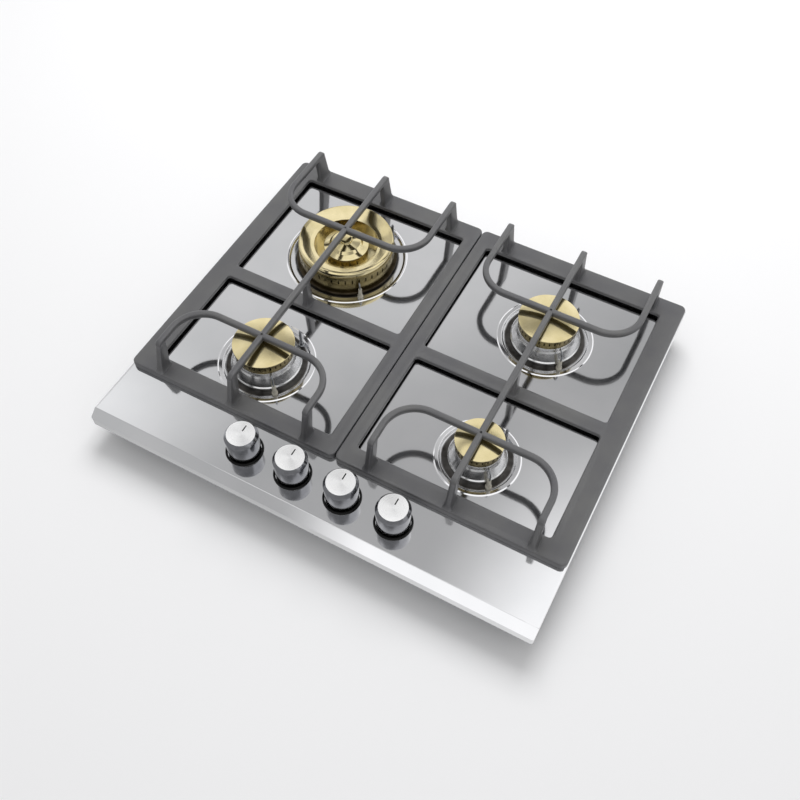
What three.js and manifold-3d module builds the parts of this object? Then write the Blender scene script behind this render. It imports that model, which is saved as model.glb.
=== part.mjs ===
// A built-in gas cooktop: a pressed steel plate over a base pan, brass burners, knobs and two pan supports.
// Units are millimetres. +X runs along the width, +Y to the rear and +Z up. The base pan stands on z = 0.
import * as THREE from 'three';
import { mergeVertices } from 'three/addons/utils/BufferGeometryUtils.js';
import Module from 'manifold-3d';

const wasm = await Module();
wasm.setup();

// The plate: a pressed tray with a sloping front edge and a folded lip that rests on the worktop.
const plateLength = 600;
const plateDepth = 510;
const plateTop = 54;
const plateSheet = 1.5;
const plateCorner = 3;
const rimHeight = 22;
const bevelRun = 12;
const bevelDrop = 9;
const lipWidth = 12;
const lipCorner = 4;
const sealWidth = 9;
const sealThickness = 3;

// The base pan hangs under the plate, set in from its edges, and has a flange to screw it on by.
const panInset = 22;
const panSheet = 1.2;
const panFlange = 6;
const panCorner = 6;

// Controls: knobs in a row near the front edge, each over a black ring.
const knobCount = 4;
const knobSpacing = 68;
const knobSetback = 49;
const knobHeight = 37;
const knobTopRadius = 17.4;
const knobWideRadius = 20.8;
const knobFootRadius = 20;
const knobFootFlare = 0.3;
const knobFootBand = 4;
const knobChamfer = 5;
const knobFootSpare = 0.7;
const knobTravel = 3.5;
const pointerWidth = 1.6;
const pointerDepth = 0.6;
const pointerStart = 3.5;
const pointerEnd = 12.5;
const bezelGap = 0.8;
const bezelWidth = 2.7;
const bezelHeight = 3;

// The stem pushes through the turning plug by a flat tang.
const stemRadius = 4;
const stemFlat = 2;
const stemInKnob = 18;
const tangWidth = 2.4;
const tangInset = 0.6;
const tangOverlap = 1;
const plugRadius = 7;
const plugTaper = 1;
const plugTop = 16;
const plugHeight = 24;
const plugFloor = 5;
const plugBore = 2.2;
const plugPort = 1.2;

// Taps, the rail that feeds them and the pipes that leave them.
const tapWidth = 26;
const tapFront = 15;
const tapBack = 15;
const tapRoof = 6;
const tapFloor = 6;
const tapNeckRadius = 9;
const chamberRadius = 5.5;
const chamberHeight = 5;
const railSize = 14;
const railWall = 2;
const railOverhang = 28;
const railFromPanSide = 28;
const railFromPanRear = 19;
const pipeRadius = 4;
const pipeBore = 2.8;
const pipeDrop = 14;
const pipeBend = 22;
const pipeBendShort = 11;
const pipeStraight = 16;
const pipeBendSteps = 4;
const longPipeCross = 40;
const longPipeTail = 34;
const jetBore = 2;
const bossRadius = 7;
const bossLength = 11;
const socketDepth = 6;

// The gas inlet and the mains gland leave through the rear wall of the base pan.
const nippleRadius = 8;
const nippleBore = 5;
const nippleHex = 22;
const nippleHexLength = 8;
const nippleCollar = 13;
const nippleCollarLength = 2;
const nippleReach = 17;
const nippleUnderSeal = 1;
const hexSides = 6;
const glandRadius = 7;
const glandBore = 4;
const glandNutRadius = 11;
const glandNutLength = 7;
const glandInside = 11;
const glandReach = 15;
const glandFromPanSide = 48;
const moduleLength = 48;
const moduleDepth = 72;
const moduleHeight = 28;
const moduleFromPanSide = 38;
const moduleFromPanRear = 161;

// Burners, placed from the plate's edges. Radii outward from the head follow by fixed steps.
const burnerFromSide = 150;
const burnerFromRear = 131;
const burnerFromFront = 173;
const mediumHead = 38.5;
const smallHead = 29;
const mediumPorts = 14;
const smallPorts = 12;
const skirtStep = 7.5;
const recessStep = 9.5;
const recessSlope = 1.5;
const recessDepth = 2;

// The cup: skirt, cone and seat above the plate, neck and floor below it.
const neckStep = 5.5;
const cupTop = 24;
const cupSkirtTop = 5;
const cupSkirtEdge = 1.5;
const cupConeTop = 16;
const cupConeStep = 1;
const cupCollar = 2;
const cupCollarStep = 0.5;
const cupFloor = 23;
const cupWall = 3;
const jetPostRadius = 5;
const jetPostRise = 7;
const jetRibWidth = 10;
const jetRibRise = 4.5;
const jetHole = 1;

// The head and its cap.
const mixTubeBore = 9;
const mixTubeWall = 3;
const mixTubeBottom = 4;
const mixTubeBelowTop = 6;
const headHeight = 15;
const headWall = 4.5;
const headFloor = 3;
const portWidth = 2.6;
const portHeight = 6;
const portBelowTop = 3;
const capStep = 1;
const capEdge = 2.5;
const capShoulder = 1.6;
const capShoulderWidth = 3;
const capRise = 5.2;
const capCrownStep = 18;
const capCrownDrop = 0.3;
const lipDepth = 2.5;
const lipThickness = 3;

// The wok burner: an outer wall, an inner wall and a small head in the middle.
const wokSkirtStep = 4;
const wokOuter = 66;
const wokNeck = 50;
const wokWall = 5;
const wokRingBore = 44;
const wokRingWall = 3;
const wokInner = 30;
const wokInnerWall = 4;
const wokFloor = 3;
const wokInnerFloor = 3;
const wokOuterTop = 28;
const wokRingDrop = 4;
const wokInnerTop = 22;
const wokTubeDrop = 6;
const wokTubeBelowTop = 4;
const wokOuterPorts = 20;
const wokInnerPorts = 8;
const wokPortHeight = 7;
const wokPortBelowTop = 4;
const wokInnerPortHeight = 5;
const ringInset = 0.8;
const ringEdge = 6;
const ringCrest = 8;
const ringCrestWidth = 1.6;
const ringFall = 6.6;
const ringFallWidth = 6;
const ringHollow = 2.4;
const ringHollowWidth = 5;

// The wok burner's middle cap rises in steps, each set in from its rim.
const wokCapStep = 1;
const wokCapEdge = 3;
const wokCapFirstStep = 8;
const wokCapFirstRise = 5.5;
const wokCapSecondStep = 11;
const wokCapSecondRise = 9;
const wokCapThirdStep = 22;
const wokCapThirdRise = 11;
const wokCapButtonStep = 23;
const wokCapButtonRise = 13.5;
const wokCapRise = 14.2;

// Spark electrodes and flame probes stand in the recess beside each burner.
const igniterAngle = -46;
const probeAngle = 60;
const electrodeStep = 4.7;
const electrodeCollar = 4;
const electrodeCollarHeight = 3;
const igniterRadius = 3;
const igniterBelow = 14;
const igniterCeramicTop = 14;
const igniterTaper = 0.6;
const wireRadius = 1.2;
const hookSize = 2;
const sparkGap = 3;
const igniterTip = 31;
const probeRadius = 2.2;
const probeBelow = 18;
const probeTip = 28;
const probeNose = 2;
const wokElectrodeTip = 22;

// Pan supports: a flat-bar frame with round-cornered bars standing on it.
const grateSeam = 1;
const grateInset = 1;
const grateFromKnobs = 13.5;
const frameHeight = 9.2;
const frameCorner = 8;
const windowCorner = 4;
const outerBar = 28.5;
const centreBar = 18;
const rearBar = 30;
const frontBar = 26;
const middleBar = 21;
const barWidth = 8;
const barHeight = 9;
const barsOverCaps = 3.8;
const fingerReach = 106;
const fingerCorner = 42;
const fingerInset = 12;
const barEndRound = 8;
const rearLegTop = 19;
const frontLegTop = 14;
const middleLegTop = 11;
const legFootInset = 1.5;
const legFootInner = 3;

// Gaps between still and running parts, and how far a cut runs past what it cuts.
const clearance = 0.3;
const running = 0.06;
const overrun = 1;

// Sides of round parts, from the smallest to the largest, and steps of an arc.
const few = 8;
const small = 10;
const coarse = 12;
const round = 20;
const fine = 28;
const arcSteps = 3;
const bowSteps = 6;
const endSteps = 4;
const tubeSteps = 4;
const weld = 1e-4;

// Places that several parts share.
const under = plateTop - plateSheet;
const rimBottom = plateTop - rimHeight;
const panLength = plateLength - 2 * panInset;
const panDepth = plateDepth - 2 * panInset;
const panSide = panLength / 2;
const panWall = panDepth / 2;
const burnerX = plateLength / 2 - burnerFromSide;
const rearBurnerY = plateDepth / 2 - burnerFromRear;
const frontBurnerY = burnerFromFront - plateDepth / 2;
const knobY = knobSetback - plateDepth / 2;
const knobFoot = plateTop + knobTravel + knobFootSpare;
const bezelHole = knobFootRadius + bezelGap;
const bezelRadius = bezelHole + bezelWidth;
const headSeat = plateTop + cupTop;
const headTop = headSeat + headHeight;
const degrees = Math.PI / 180;
const quarter = Math.PI / 2;

// Colour, roughness and metalness of each finish.
const finishes = {
  polished_steel: [0xb9babd, 0.12, 1],
  galvanised_steel: [0x9a9c9f, 0.45, 0.9],
  grey_enamel: [0x55565a, 0.5, 0.1],
  brass: [0xc9ba7e, 0.15, 1],
  aluminium: [0xc4c4c2, 0.32, 1],
  satin_chrome: [0xd8d8da, 0.2, 1],
  stem_steel: [0x8f9194, 0.3, 1],
  black_plastic: [0x141414, 0.5, 0],
  foam: [0x2a2a2a, 0.95, 0],
  ceramic: [0xe9e6dc, 0.4, 0],
  module_plastic: [0x2c3036, 0.6, 0],
};

const group = new THREE.Group();

function toSolid(geometry) {
  const plain = geometry.index ? geometry.toNonIndexed() : geometry;
  plain.deleteAttribute('normal');
  plain.deleteAttribute('uv');
  const welded = mergeVertices(plain, weld);
  return new wasm.Manifold(new wasm.Mesh({
    numProp: 3,
    vertProperties: Float32Array.from(welded.attributes.position.array),
    triVerts: Uint32Array.from(welded.index.array),
  }));
}

function addNode(name, solid, finish) {
  const mesh = solid.getMesh();
  const geometry = new THREE.BufferGeometry();
  geometry.setAttribute('position', new THREE.BufferAttribute(mesh.vertProperties, mesh.numProp));
  geometry.setIndex(new THREE.BufferAttribute(mesh.triVerts, 1));
  geometry.computeVertexNormals();
  const [color, roughness, metalness] = finishes[finish];
  const material = new THREE.MeshStandardMaterial({ color, roughness, metalness });
  material.name = finish;
  const node = new THREE.Mesh(geometry, material);
  node.name = name;
  group.add(node);
}

// A block between two corners.
function block(from, to) {
  const size = to.map((value, axis) => value - from[axis]);
  const geometry = new THREE.BoxGeometry(...size);
  geometry.translate(...from.map((value, axis) => value + size[axis] / 2));
  return toSolid(geometry);
}

// A solid turned about a vertical axis at [x, y], from [radius, height] points.
function turned(points, [x, y], sides = round) {
  const profile = points.map(([radius, height]) => new THREE.Vector2(radius, height));
  const geometry = new THREE.LatheGeometry(profile, sides);
  geometry.rotateX(quarter);
  geometry.translate(x, y, 0);
  return toSolid(geometry);
}

function ring(inner, outer, low, high, at) {
  return turned([[inner, low], [outer, low], [outer, high], [inner, high], [inner, low]], at);
}

function rod(radius, low, high, at, sides = round) {
  return turned([[0, low], [radius, low], [radius, high], [0, high]], at, sides);
}

function rodAlongY(radius, x, z, from, to, sides = coarse) {
  const geometry = new THREE.CylinderGeometry(radius, radius, to - from, sides);
  geometry.translate(x, (from + to) / 2, z);
  return toSolid(geometry);
}

function rodAlongX(radius, [from, to], y, z) {
  const geometry = new THREE.CylinderGeometry(radius, radius, to - from, few);
  geometry.rotateZ(quarter);
  geometry.translate((from + to) / 2, y, z);
  return toSolid(geometry);
}

// The corner radius of a many-sided hole whose flats stay clear of a round part.
function around(radius, gap, sides) {
  return (radius + gap) / Math.cos(Math.PI / sides);
}

// An outline in X and Y raised between two heights.
function raised(shape, low, high, curveSegments = arcSteps) {
  const settings = { depth: high - low, bevelEnabled: false, curveSegments };
  const geometry = new THREE.ExtrudeGeometry(shape, settings);
  geometry.translate(0, 0, low);
  return toSolid(geometry);
}

function roundedOutline(left, right, front, rear, radius, Kind = THREE.Shape) {
  const shape = new Kind();
  shape.moveTo(left + radius, front);
  shape.lineTo(right - radius, front);
  shape.absarc(right - radius, front + radius, radius, -quarter, 0);
  shape.lineTo(right, rear - radius);
  shape.absarc(right - radius, rear - radius, radius, 0, quarter);
  shape.lineTo(left + radius, rear);
  shape.absarc(left + radius, rear - radius, radius, quarter, Math.PI);
  shape.lineTo(left, front + radius);
  shape.absarc(left + radius, front + radius, radius, Math.PI, Math.PI + quarter);
  return shape;
}

function centredOutline(length, depth, radius) {
  return roundedOutline(-length / 2, length / 2, -depth / 2, depth / 2, radius);
}

// A side view in Y and Z drawn out along X.
function drawnAcross(points, from, to) {
  const shape = new THREE.Shape(points.map(([y, z]) => new THREE.Vector2(y, z)));
  const geometry = new THREE.ExtrudeGeometry(shape, { depth: to - from, bevelEnabled: false });
  geometry.rotateX(quarter);
  geometry.rotateZ(quarter);
  geometry.translate(from, 0, 0);
  return toSolid(geometry);
}

// A path that gives a swept tube exactly the sections it names.
class PointPath extends THREE.Curve {
  constructor(points) {
    super();
    this.points = points;
  }

  getPoint(u) {
    return this.points[Math.round(u * (this.points.length - 1))].clone();
  }

  getPointAt(u) {
    return this.getPoint(u);
  }

  getTangentAt(u) {
    const last = this.points.length - 1;
    const index = Math.round(u * last);
    const ahead = this.points[Math.min(index + 1, last)];
    const behind = this.points[Math.max(index - 1, 0)];
    return ahead.clone().sub(behind).normalize();
  }
}

// The corners of a route replaced by short arcs.
function softened(corners, radius) {
  const points = [corners[0]];
  for (let i = 1; i < corners.length - 1; i += 1) {
    const back = corners[i - 1].clone().sub(corners[i]).normalize();
    const on = corners[i + 1].clone().sub(corners[i]).normalize();
    const half = back.angleTo(on) / 2;
    const inset = radius / Math.tan(half);
    const start = corners[i].clone().addScaledVector(back, inset);
    const end = corners[i].clone().addScaledVector(on, inset);
    const middle = back.clone().add(on).normalize();
    const centre = corners[i].clone().addScaledVector(middle, radius / Math.sin(half));
    for (let k = 0; k <= pipeBendSteps; k += 1) {
      const chord = start.clone().lerp(end, k / pipeBendSteps);
      points.push(chord.sub(centre).setLength(radius).add(centre));
    }
  }
  points.push(corners[corners.length - 1]);
  return points;
}

function tube(corners, radius, bore, bend) {
  const points = softened(corners, bend);
  const section = new THREE.Shape();
  section.absarc(0, 0, radius, 0, Math.PI * 2);
  const hole = new THREE.Path();
  hole.absarc(0, 0, bore, 0, Math.PI * 2, true);
  section.holes.push(hole);
  const settings = { steps: points.length - 1, curveSegments: tubeSteps, extrudePath: new PointPath(points) };
  return toSolid(new THREE.ExtrudeGeometry(section, settings));
}

// The burners, each with the tap that feeds it.
const burners = [
  { name: 'rear_left', at: [-burnerX, rearBurnerY], wok: true, tap: 1 },
  { name: 'front_left', at: [-burnerX, frontBurnerY], head: mediumHead, ports: mediumPorts, tap: 0 },
  { name: 'rear_right', at: [burnerX, rearBurnerY], head: mediumHead, ports: mediumPorts, tap: 2 },
  { name: 'front_right', at: [burnerX, frontBurnerY], head: smallHead, ports: smallPorts, tap: 3 },
];
for (const burner of burners) {
  burner.neck = burner.wok ? wokNeck : burner.head - neckStep;
  burner.skirt = burner.wok ? wokOuter + wokSkirtStep : burner.head + skirtStep;
  burner.outside = burner.wok ? wokOuter : burner.head;
  burner.sides = burner.wok ? fine : round;
  burner.electrodes = burner.skirt + electrodeStep;
}

const knobs = Array.from({ length: knobCount }, (_, i) => ({
  number: i + 1,
  at: [(i - (knobCount - 1) / 2) * knobSpacing, knobY],
}));

// A point at an angle and distance from a burner's centre.
function beside(burner, angle) {
  const [x, y] = burner.at;
  const turn = angle * degrees;
  return [x + burner.electrodes * Math.cos(turn), y + burner.electrodes * Math.sin(turn)];
}

// The plate's outside form, drawn in from the skin by an inset, down to a given height.
function plateForm(inset, low) {
  const front = inset - plateDepth / 2;
  const rear = plateDepth / 2 - inset;
  const top = plateTop - inset;
  const slope = Math.hypot(bevelRun, bevelDrop);
  const crease = front - inset + bevelRun + inset * (slope - bevelRun) / bevelDrop;
  const edge = top - bevelDrop * (crease - front) / bevelRun;
  const side = [[front, low], [rear, low], [rear, top], [crease, top], [front, edge]];
  const across = drawnAcross(side, -plateLength / 2, plateLength / 2);
  const outline = centredOutline(plateLength - 2 * inset, plateDepth - 2 * inset, plateCorner - inset);
  return across.intersect(raised(outline, low - overrun, plateTop + overrun));
}

function drilled(solid, radius, sides, at) {
  const opened = around(radius, clearance, sides);
  return solid.subtract(rod(opened, under - recessDepth - overrun, plateTop + overrun, at, sides));
}

function makePlate() {
  let plate = plateForm(0, rimBottom).subtract(plateForm(plateSheet, rimBottom + plateSheet));
  const opening = centredOutline(plateLength - 2 * lipWidth, plateDepth - 2 * lipWidth, lipCorner);
  plate = plate.subtract(raised(opening, rimBottom - overrun, rimBottom + plateSheet + overrun));
  for (const burner of burners) {
    const floor = burner.skirt + recessStep;
    const rim = floor + recessSlope;
    const middle = under + plateSheet / 2;
    const low = under - recessDepth;
    const dish = [[0, low], [floor + plateSheet, low], [rim + plateSheet, middle], [0, middle]];
    const sunk = plateTop - recessDepth;
    const above = plateTop + overrun;
    const cut = [[0, sunk], [floor, sunk], [rim, plateTop], [rim, above], [0, above]];
    plate = plate.add(turned(dish, burner.at, burner.sides));
    plate = plate.subtract(turned(cut, burner.at, burner.sides));
    plate = drilled(plate, burner.neck, fine, burner.at);
    plate = drilled(plate, igniterRadius, small, beside(burner, igniterAngle));
    plate = drilled(plate, probeRadius, small, beside(burner, probeAngle));
  }
  for (const knob of knobs) {
    plate = drilled(plate, stemRadius, coarse, knob.at);
  }
  return plate;
}

function makeSeal() {
  const length = plateLength - plateSheet * 2;
  const depth = plateDepth - plateSheet * 2;
  const low = rimBottom - sealThickness;
  const outline = centredOutline(length, depth, plateCorner - plateSheet);
  const inner = centredOutline(length - sealWidth * 2, depth - sealWidth * 2, lipCorner);
  return raised(outline, low, rimBottom).subtract(raised(inner, low - overrun, rimBottom + overrun));
}

// The inlet passes just under the seal, and the rail ends in front of it.
const nippleZ = rimBottom - sealThickness - nippleUnderSeal - nippleRadius;
const railRise = nippleZ - railSize / 2;
const railRight = panSide - railFromPanSide;
const railEndY = panWall - railFromPanRear;
const nippleX = railRight - railSize / 2;
const glandX = glandFromPanSide - panSide;

function makePan() {
  const outer = raised(centredOutline(panLength, panDepth, panCorner), 0, under);
  const flange = panFlange * 2;
  const rimOutline = centredOutline(panLength + flange, panDepth + flange, panCorner + panFlange);
  const inner = centredOutline(panLength - 2 * panSheet, panDepth - 2 * panSheet, panCorner - panSheet);
  let pan = outer.add(raised(rimOutline, under - panSheet, under));
  pan = pan.subtract(raised(inner, panSheet, under + overrun));
  for (const [x, radius] of [[nippleX, nippleRadius], [glandX, glandRadius]]) {
    const opened = around(radius, clearance, coarse);
    pan = pan.subtract(rodAlongY(opened, x, nippleZ, panWall - panSheet - overrun, panWall + overrun));
  }
  return pan;
}

// The rail runs behind the taps, then back along the right side to the inlet.
const railFront = knobY + tapBack;

function railOutline(inset, rear) {
  const left = knobs[0].at[0] - railOverhang + inset;
  const right = railRight - inset;
  const front = railFront + inset;
  const inside = railFront + railSize - inset;
  const innerSide = railRight - railSize + inset;
  const corners = [[left, front], [right, front], [right, rear], [innerSide, rear], [innerSide, inside],
    [left, inside]];
  return new THREE.Shape(corners.map(([x, y]) => new THREE.Vector2(x, y)));
}

function makeRail() {
  const top = railRise + railSize;
  const bore = raised(railOutline(railWall, railEndY + overrun), railRise + railWall, top - railWall);
  let rail = raised(railOutline(0, railEndY), railRise, top).subtract(bore);
  for (const knob of knobs) {
    const [x] = knob.at;
    const inside = railFront + railWall + overrun;
    rail = rail.subtract(rodAlongY(pipeBore, x, nippleZ, railFront - overrun, inside));
  }
  return rail;
}

function makeNipple() {
  const inside = panWall - panSheet;
  const tip = panWall + nippleReach;
  const hexRadius = nippleHex / 2 / Math.cos(Math.PI / hexSides);
  const hex = rodAlongY(hexRadius, nippleX, nippleZ, railEndY, railEndY + nippleHexLength, hexSides);
  const body = rodAlongY(nippleRadius, nippleX, nippleZ, railEndY + overrun, tip);
  const collar = rodAlongY(nippleCollar, nippleX, nippleZ, inside - nippleCollarLength, inside);
  const bore = rodAlongY(nippleBore, nippleX, nippleZ, railEndY - overrun, tip + overrun);
  return hex.add(body).add(collar).subtract(bore);
}

function makeGland() {
  const start = panWall - panSheet - glandInside;
  const tip = panWall + glandReach;
  const body = rodAlongY(glandRadius, glandX, nippleZ, start, tip);
  const nut = rodAlongY(glandNutRadius, glandX, nippleZ, panWall, panWall + glandNutLength, hexSides);
  return body.add(nut).subtract(rodAlongY(glandBore, glandX, nippleZ, start - overrun, tip + overrun));
}

function makeModule() {
  const x = moduleFromPanSide - panSide;
  const y = panWall - moduleFromPanRear - moduleDepth;
  return block([x, y, panSheet], [x + moduleLength, y + moduleDepth, panSheet + moduleHeight]);
}

const plugHigh = plateTop - plugTop;
const plugLow = plugHigh - plugHeight;
const slotLow = plugLow + plugFloor;
const tangReach = stemRadius - tangInset;
const outletZ = plateTop - pipeDrop;

// The tap: a cast block with a taper bore for the plug, a chamber over it that leads to the outlet
// at the back, and a neck up to the plate.
function makeTap([x, y]) {
  const top = plugHigh + tapRoof;
  const back = y + tapBack;
  const mouth = back + bossLength;
  const left = x - tapWidth / 2;
  let tap = block([left, y - tapFront, plugLow - tapFloor], [left + tapWidth, back, top]);
  tap = tap.add(rod(tapNeckRadius, top - overrun, under, [x, y], coarse));
  tap = tap.add(rodAlongY(bossRadius, x, outletZ, back - overrun, mouth));
  const lowRadius = around(plugRadius - plugTaper, running, coarse);
  const highRadius = around(plugRadius, running, coarse);
  const low = plugLow - clearance;
  const high = plugHigh + clearance;
  tap = tap.subtract(turned([[0, low], [lowRadius, low], [highRadius, high], [0, high]], [x, y], coarse));
  tap = tap.subtract(rod(chamberRadius, plugHigh, plugHigh + chamberHeight, [x, y], coarse));
  tap = tap.subtract(rod(around(stemRadius, running, coarse), plugHigh, under + overrun, [x, y], coarse));
  const socket = around(pipeRadius, clearance, coarse);
  tap = tap.subtract(rodAlongY(socket, x, outletZ, mouth - socketDepth, mouth + overrun));
  tap = tap.subtract(rodAlongY(jetBore, x, outletZ, y + stemRadius, mouth));
  return tap.subtract(rodAlongY(pipeBore, x, nippleZ, y + plugRadius - plugTaper * 2, back + overrun));
}

// The plug turns in the tap. Its slot lets the stem's tang slide down, and its port meets the rail's gas
// once the knob has turned to a flame.
function makePlug([x, y]) {
  const profile = [[0, plugLow], [plugRadius - plugTaper, plugLow], [plugRadius, plugHigh], [0, plugHigh]];
  const halfWidth = tangWidth / 2 + running;
  const reach = tangReach + running;
  const slot = block([x - reach, y - halfWidth, slotLow], [x + reach, y + halfWidth, plugHigh + overrun]);
  const bore = rod(plugBore, slotLow, plugHigh + overrun, [x, y], small);
  const port = rodAlongX(plugPort, [x, x + plugRadius + overrun], y, slotLow + plugPort);
  return turned(profile, [x, y], coarse).subtract(slot).subtract(bore).subtract(port);
}

function makeStem([x, y]) {
  const shoulder = plugHigh + knobTravel + 2 * clearance;
  const tip = knobFoot + stemInKnob;
  const tangLow = slotLow + knobTravel + overrun;
  const tang = block([x - tangReach, y - tangWidth / 2, tangLow],
    [x + tangReach, y + tangWidth / 2, shoulder + tangOverlap]);
  const flat = block([x - 2 * stemRadius, y - 2 * stemRadius, knobFoot],
    [x + 2 * stemRadius, y - stemFlat, tip + overrun]);
  return rod(stemRadius, shoulder, tip, [x, y], coarse).subtract(flat).add(tang);
}

function makeKnob([x, y]) {
  const top = plateTop + knobHeight;
  const reach = knobFoot + stemInKnob;
  const profile = [[0, knobFoot], [knobFootRadius, knobFoot],
    [knobFootRadius + knobFootFlare, knobFoot + knobFootBand],
    [knobWideRadius, top - knobChamfer], [knobTopRadius, top], [0, top]];
  const bore = rod(around(stemRadius, clearance, coarse), knobFoot - overrun, reach, [x, y], coarse);
  const flat = block([x - 2 * stemRadius, y - 2 * stemRadius, knobFoot - 2 * overrun],
    [x + 2 * stemRadius, y - stemFlat - clearance, reach + overrun]);
  const pointer = block([x - pointerWidth / 2, y + pointerStart, top - pointerDepth],
    [x + pointerWidth / 2, y + pointerEnd, top + overrun]);
  return turned(profile, [x, y], fine).subtract(bore.subtract(flat)).subtract(pointer);
}

function makeBezel(at) {
  return ring(bezelHole, bezelRadius, plateTop, plateTop + bezelHeight, at);
}

const wokSeat = plateTop + cupWall;

// The outside of a cup above the plate: a flange for the wok burner, else a cone up to the head's seat.
function cupShoulder({ wok, skirt, head }, inside) {
  if (wok) {
    return [[skirt, wokSeat], [inside, wokSeat]];
  }
  const collar = head - cupCollarStep;
  const skirtTop = plateTop + cupSkirtTop;
  const coneTop = plateTop + cupConeTop;
  return [[skirt, skirtTop - cupSkirtEdge], [skirt - cupSkirtEdge, skirtTop], [head + cupConeStep, coneTop],
    [collar, coneTop + cupCollar], [collar, headSeat], [inside, headSeat]];
}

// The cup stands in the plate's recess, hangs through its hole and carries the jet.
function makeCup(burner) {
  const [x, y] = burner.at;
  const { neck, skirt } = burner;
  const seat = plateTop - recessDepth;
  const floor = plateTop - cupFloor;
  const inside = neck - cupWall;
  const profile = [[0, floor], [neck, floor], [neck, seat], [skirt, seat], ...cupShoulder(burner, inside),
    [inside, floor + cupWall], [0, floor + cupWall]];
  const mouth = y - neck - bossLength;
  const postTop = outletZ + jetPostRise;
  let cup = turned(profile, burner.at, burner.sides);
  cup = cup.add(block([x - jetRibWidth / 2, y - inside - overrun, floor + overrun],
    [x + jetRibWidth / 2, y, outletZ + jetRibRise]));
  cup = cup.add(rod(jetPostRadius, floor + overrun, postTop, burner.at, coarse));
  cup = cup.add(rodAlongY(bossRadius, x, outletZ, mouth, y - neck + cupWall / 2));
  const socket = around(pipeRadius, clearance, coarse);
  cup = cup.subtract(rodAlongY(socket, x, outletZ, mouth - overrun, mouth + socketDepth));
  cup = cup.subtract(rodAlongY(jetBore, x, outletZ, mouth, y + overrun, few));
  return cup.subtract(rod(jetHole, outletZ, postTop + overrun, burner.at, few));
}

// Slots through a ring wall, evenly spaced about a burner's centre.
function cutPorts(solid, burner, count, from, to, low, high) {
  let result = solid;
  for (let i = 0; i < count; i += 1) {
    const slot = new THREE.BoxGeometry(to - from, portWidth, high - low);
    slot.translate((from + to) / 2, 0, (low + high) / 2);
    slot.rotateZ((i + 1 / 2) * 2 * Math.PI / count);
    slot.translate(...burner.at, 0);
    result = result.subtract(toSolid(slot));
  }
  return result;
}

// The head spreads the gas: a bowl with ports in its wall and a mixing tube down into the cup.
function makeHead(burner) {
  const { head } = burner;
  const inside = head - headWall;
  const tubeOutside = mixTubeBore + mixTubeWall;
  const low = plateTop + mixTubeBottom;
  const floor = headSeat + headFloor;
  const tubeTop = headTop - mixTubeBelowTop;
  const profile = [[mixTubeBore, low], [tubeOutside, low], [tubeOutside, headSeat], [head, headSeat],
    [head, headTop], [inside, headTop], [inside, floor], [tubeOutside, floor], [tubeOutside, tubeTop],
    [mixTubeBore, tubeTop], [mixTubeBore, low]];
  const high = headTop - portBelowTop;
  const solid = turned(profile, burner.at);
  return cutPorts(solid, burner, burner.ports, inside - overrun, head + overrun, high - portHeight, high);
}

function makeCap(burner) {
  const rim = burner.head + capStep;
  const lip = burner.head - headWall - clearance;
  const lipLow = headTop - lipDepth;
  const profile = [[0, headTop], [lip - lipThickness, headTop], [lip - lipThickness, lipLow], [lip, lipLow],
    [lip, headTop], [rim, headTop], [rim, headTop + capEdge],
    [rim - capShoulderWidth, headTop + capEdge + capShoulder],
    [rim - capCrownStep, headTop + capRise - capCrownDrop], [0, headTop + capRise]];
  return turned(profile, burner.at);
}

const outerTop = plateTop + wokOuterTop;
const ringTop = outerTop - wokRingDrop;
const innerTop = plateTop + wokInnerTop;
const chamber = wokSeat + wokFloor;

// The wok burner's head: an outer wall, an inner wall and a small head in one casting.
function makeWokHead(burner) {
  const tubeOutside = mixTubeBore + mixTubeWall;
  const low = plateTop - wokTubeDrop;
  const ringOutside = wokRingBore + wokRingWall;
  const innerInside = wokInner - wokInnerWall;
  const innerFloor = chamber + wokInnerFloor;
  const tubeTop = innerTop - wokTubeBelowTop;
  const outerInside = wokOuter - wokWall;
  const profile = [[mixTubeBore, low], [tubeOutside, low], [tubeOutside, wokSeat], [wokOuter, wokSeat],
    [wokOuter, outerTop], [outerInside, outerTop], [outerInside, chamber], [ringOutside, chamber],
    [ringOutside, ringTop], [wokRingBore, ringTop], [wokRingBore, chamber], [wokInner, chamber],
    [wokInner, innerTop], [innerInside, innerTop], [innerInside, innerFloor], [tubeOutside, innerFloor],
    [tubeOutside, tubeTop], [mixTubeBore, tubeTop], [mixTubeBore, low]];
  const solid = turned(profile, burner.at, fine);
  const outerPorts = outerTop - wokPortBelowTop;
  const innerPorts = innerTop - wokPortBelowTop;
  const ported = cutPorts(solid, burner, wokOuterPorts, outerInside - overrun, wokOuter + overrun,
    outerPorts - wokPortHeight, outerPorts);
  return cutPorts(ported, burner, wokInnerPorts, innerInside - overrun, wokInner + overrun,
    innerPorts - wokInnerPortHeight, innerPorts);
}

function makeWokRing(burner) {
  const rim = wokOuter - ringInset;
  const lip = wokOuter - wokWall - clearance;
  const lipLow = outerTop - lipDepth;
  const inner = wokRingBore;
  const seat = inner + wokRingWall;
  const profile = [[inner, ringTop], [seat, ringTop], [seat, outerTop], [lip - lipThickness, outerTop],
    [lip - lipThickness, lipLow], [lip, lipLow], [lip, outerTop], [rim, outerTop], [rim, outerTop + ringEdge],
    [rim - ringCrestWidth, outerTop + ringCrest], [rim - ringFallWidth, outerTop + ringFall],
    [inner + ringHollowWidth, outerTop + ringHollow], [inner, outerTop], [inner, ringTop]];
  return turned(profile, burner.at, fine);
}

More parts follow.
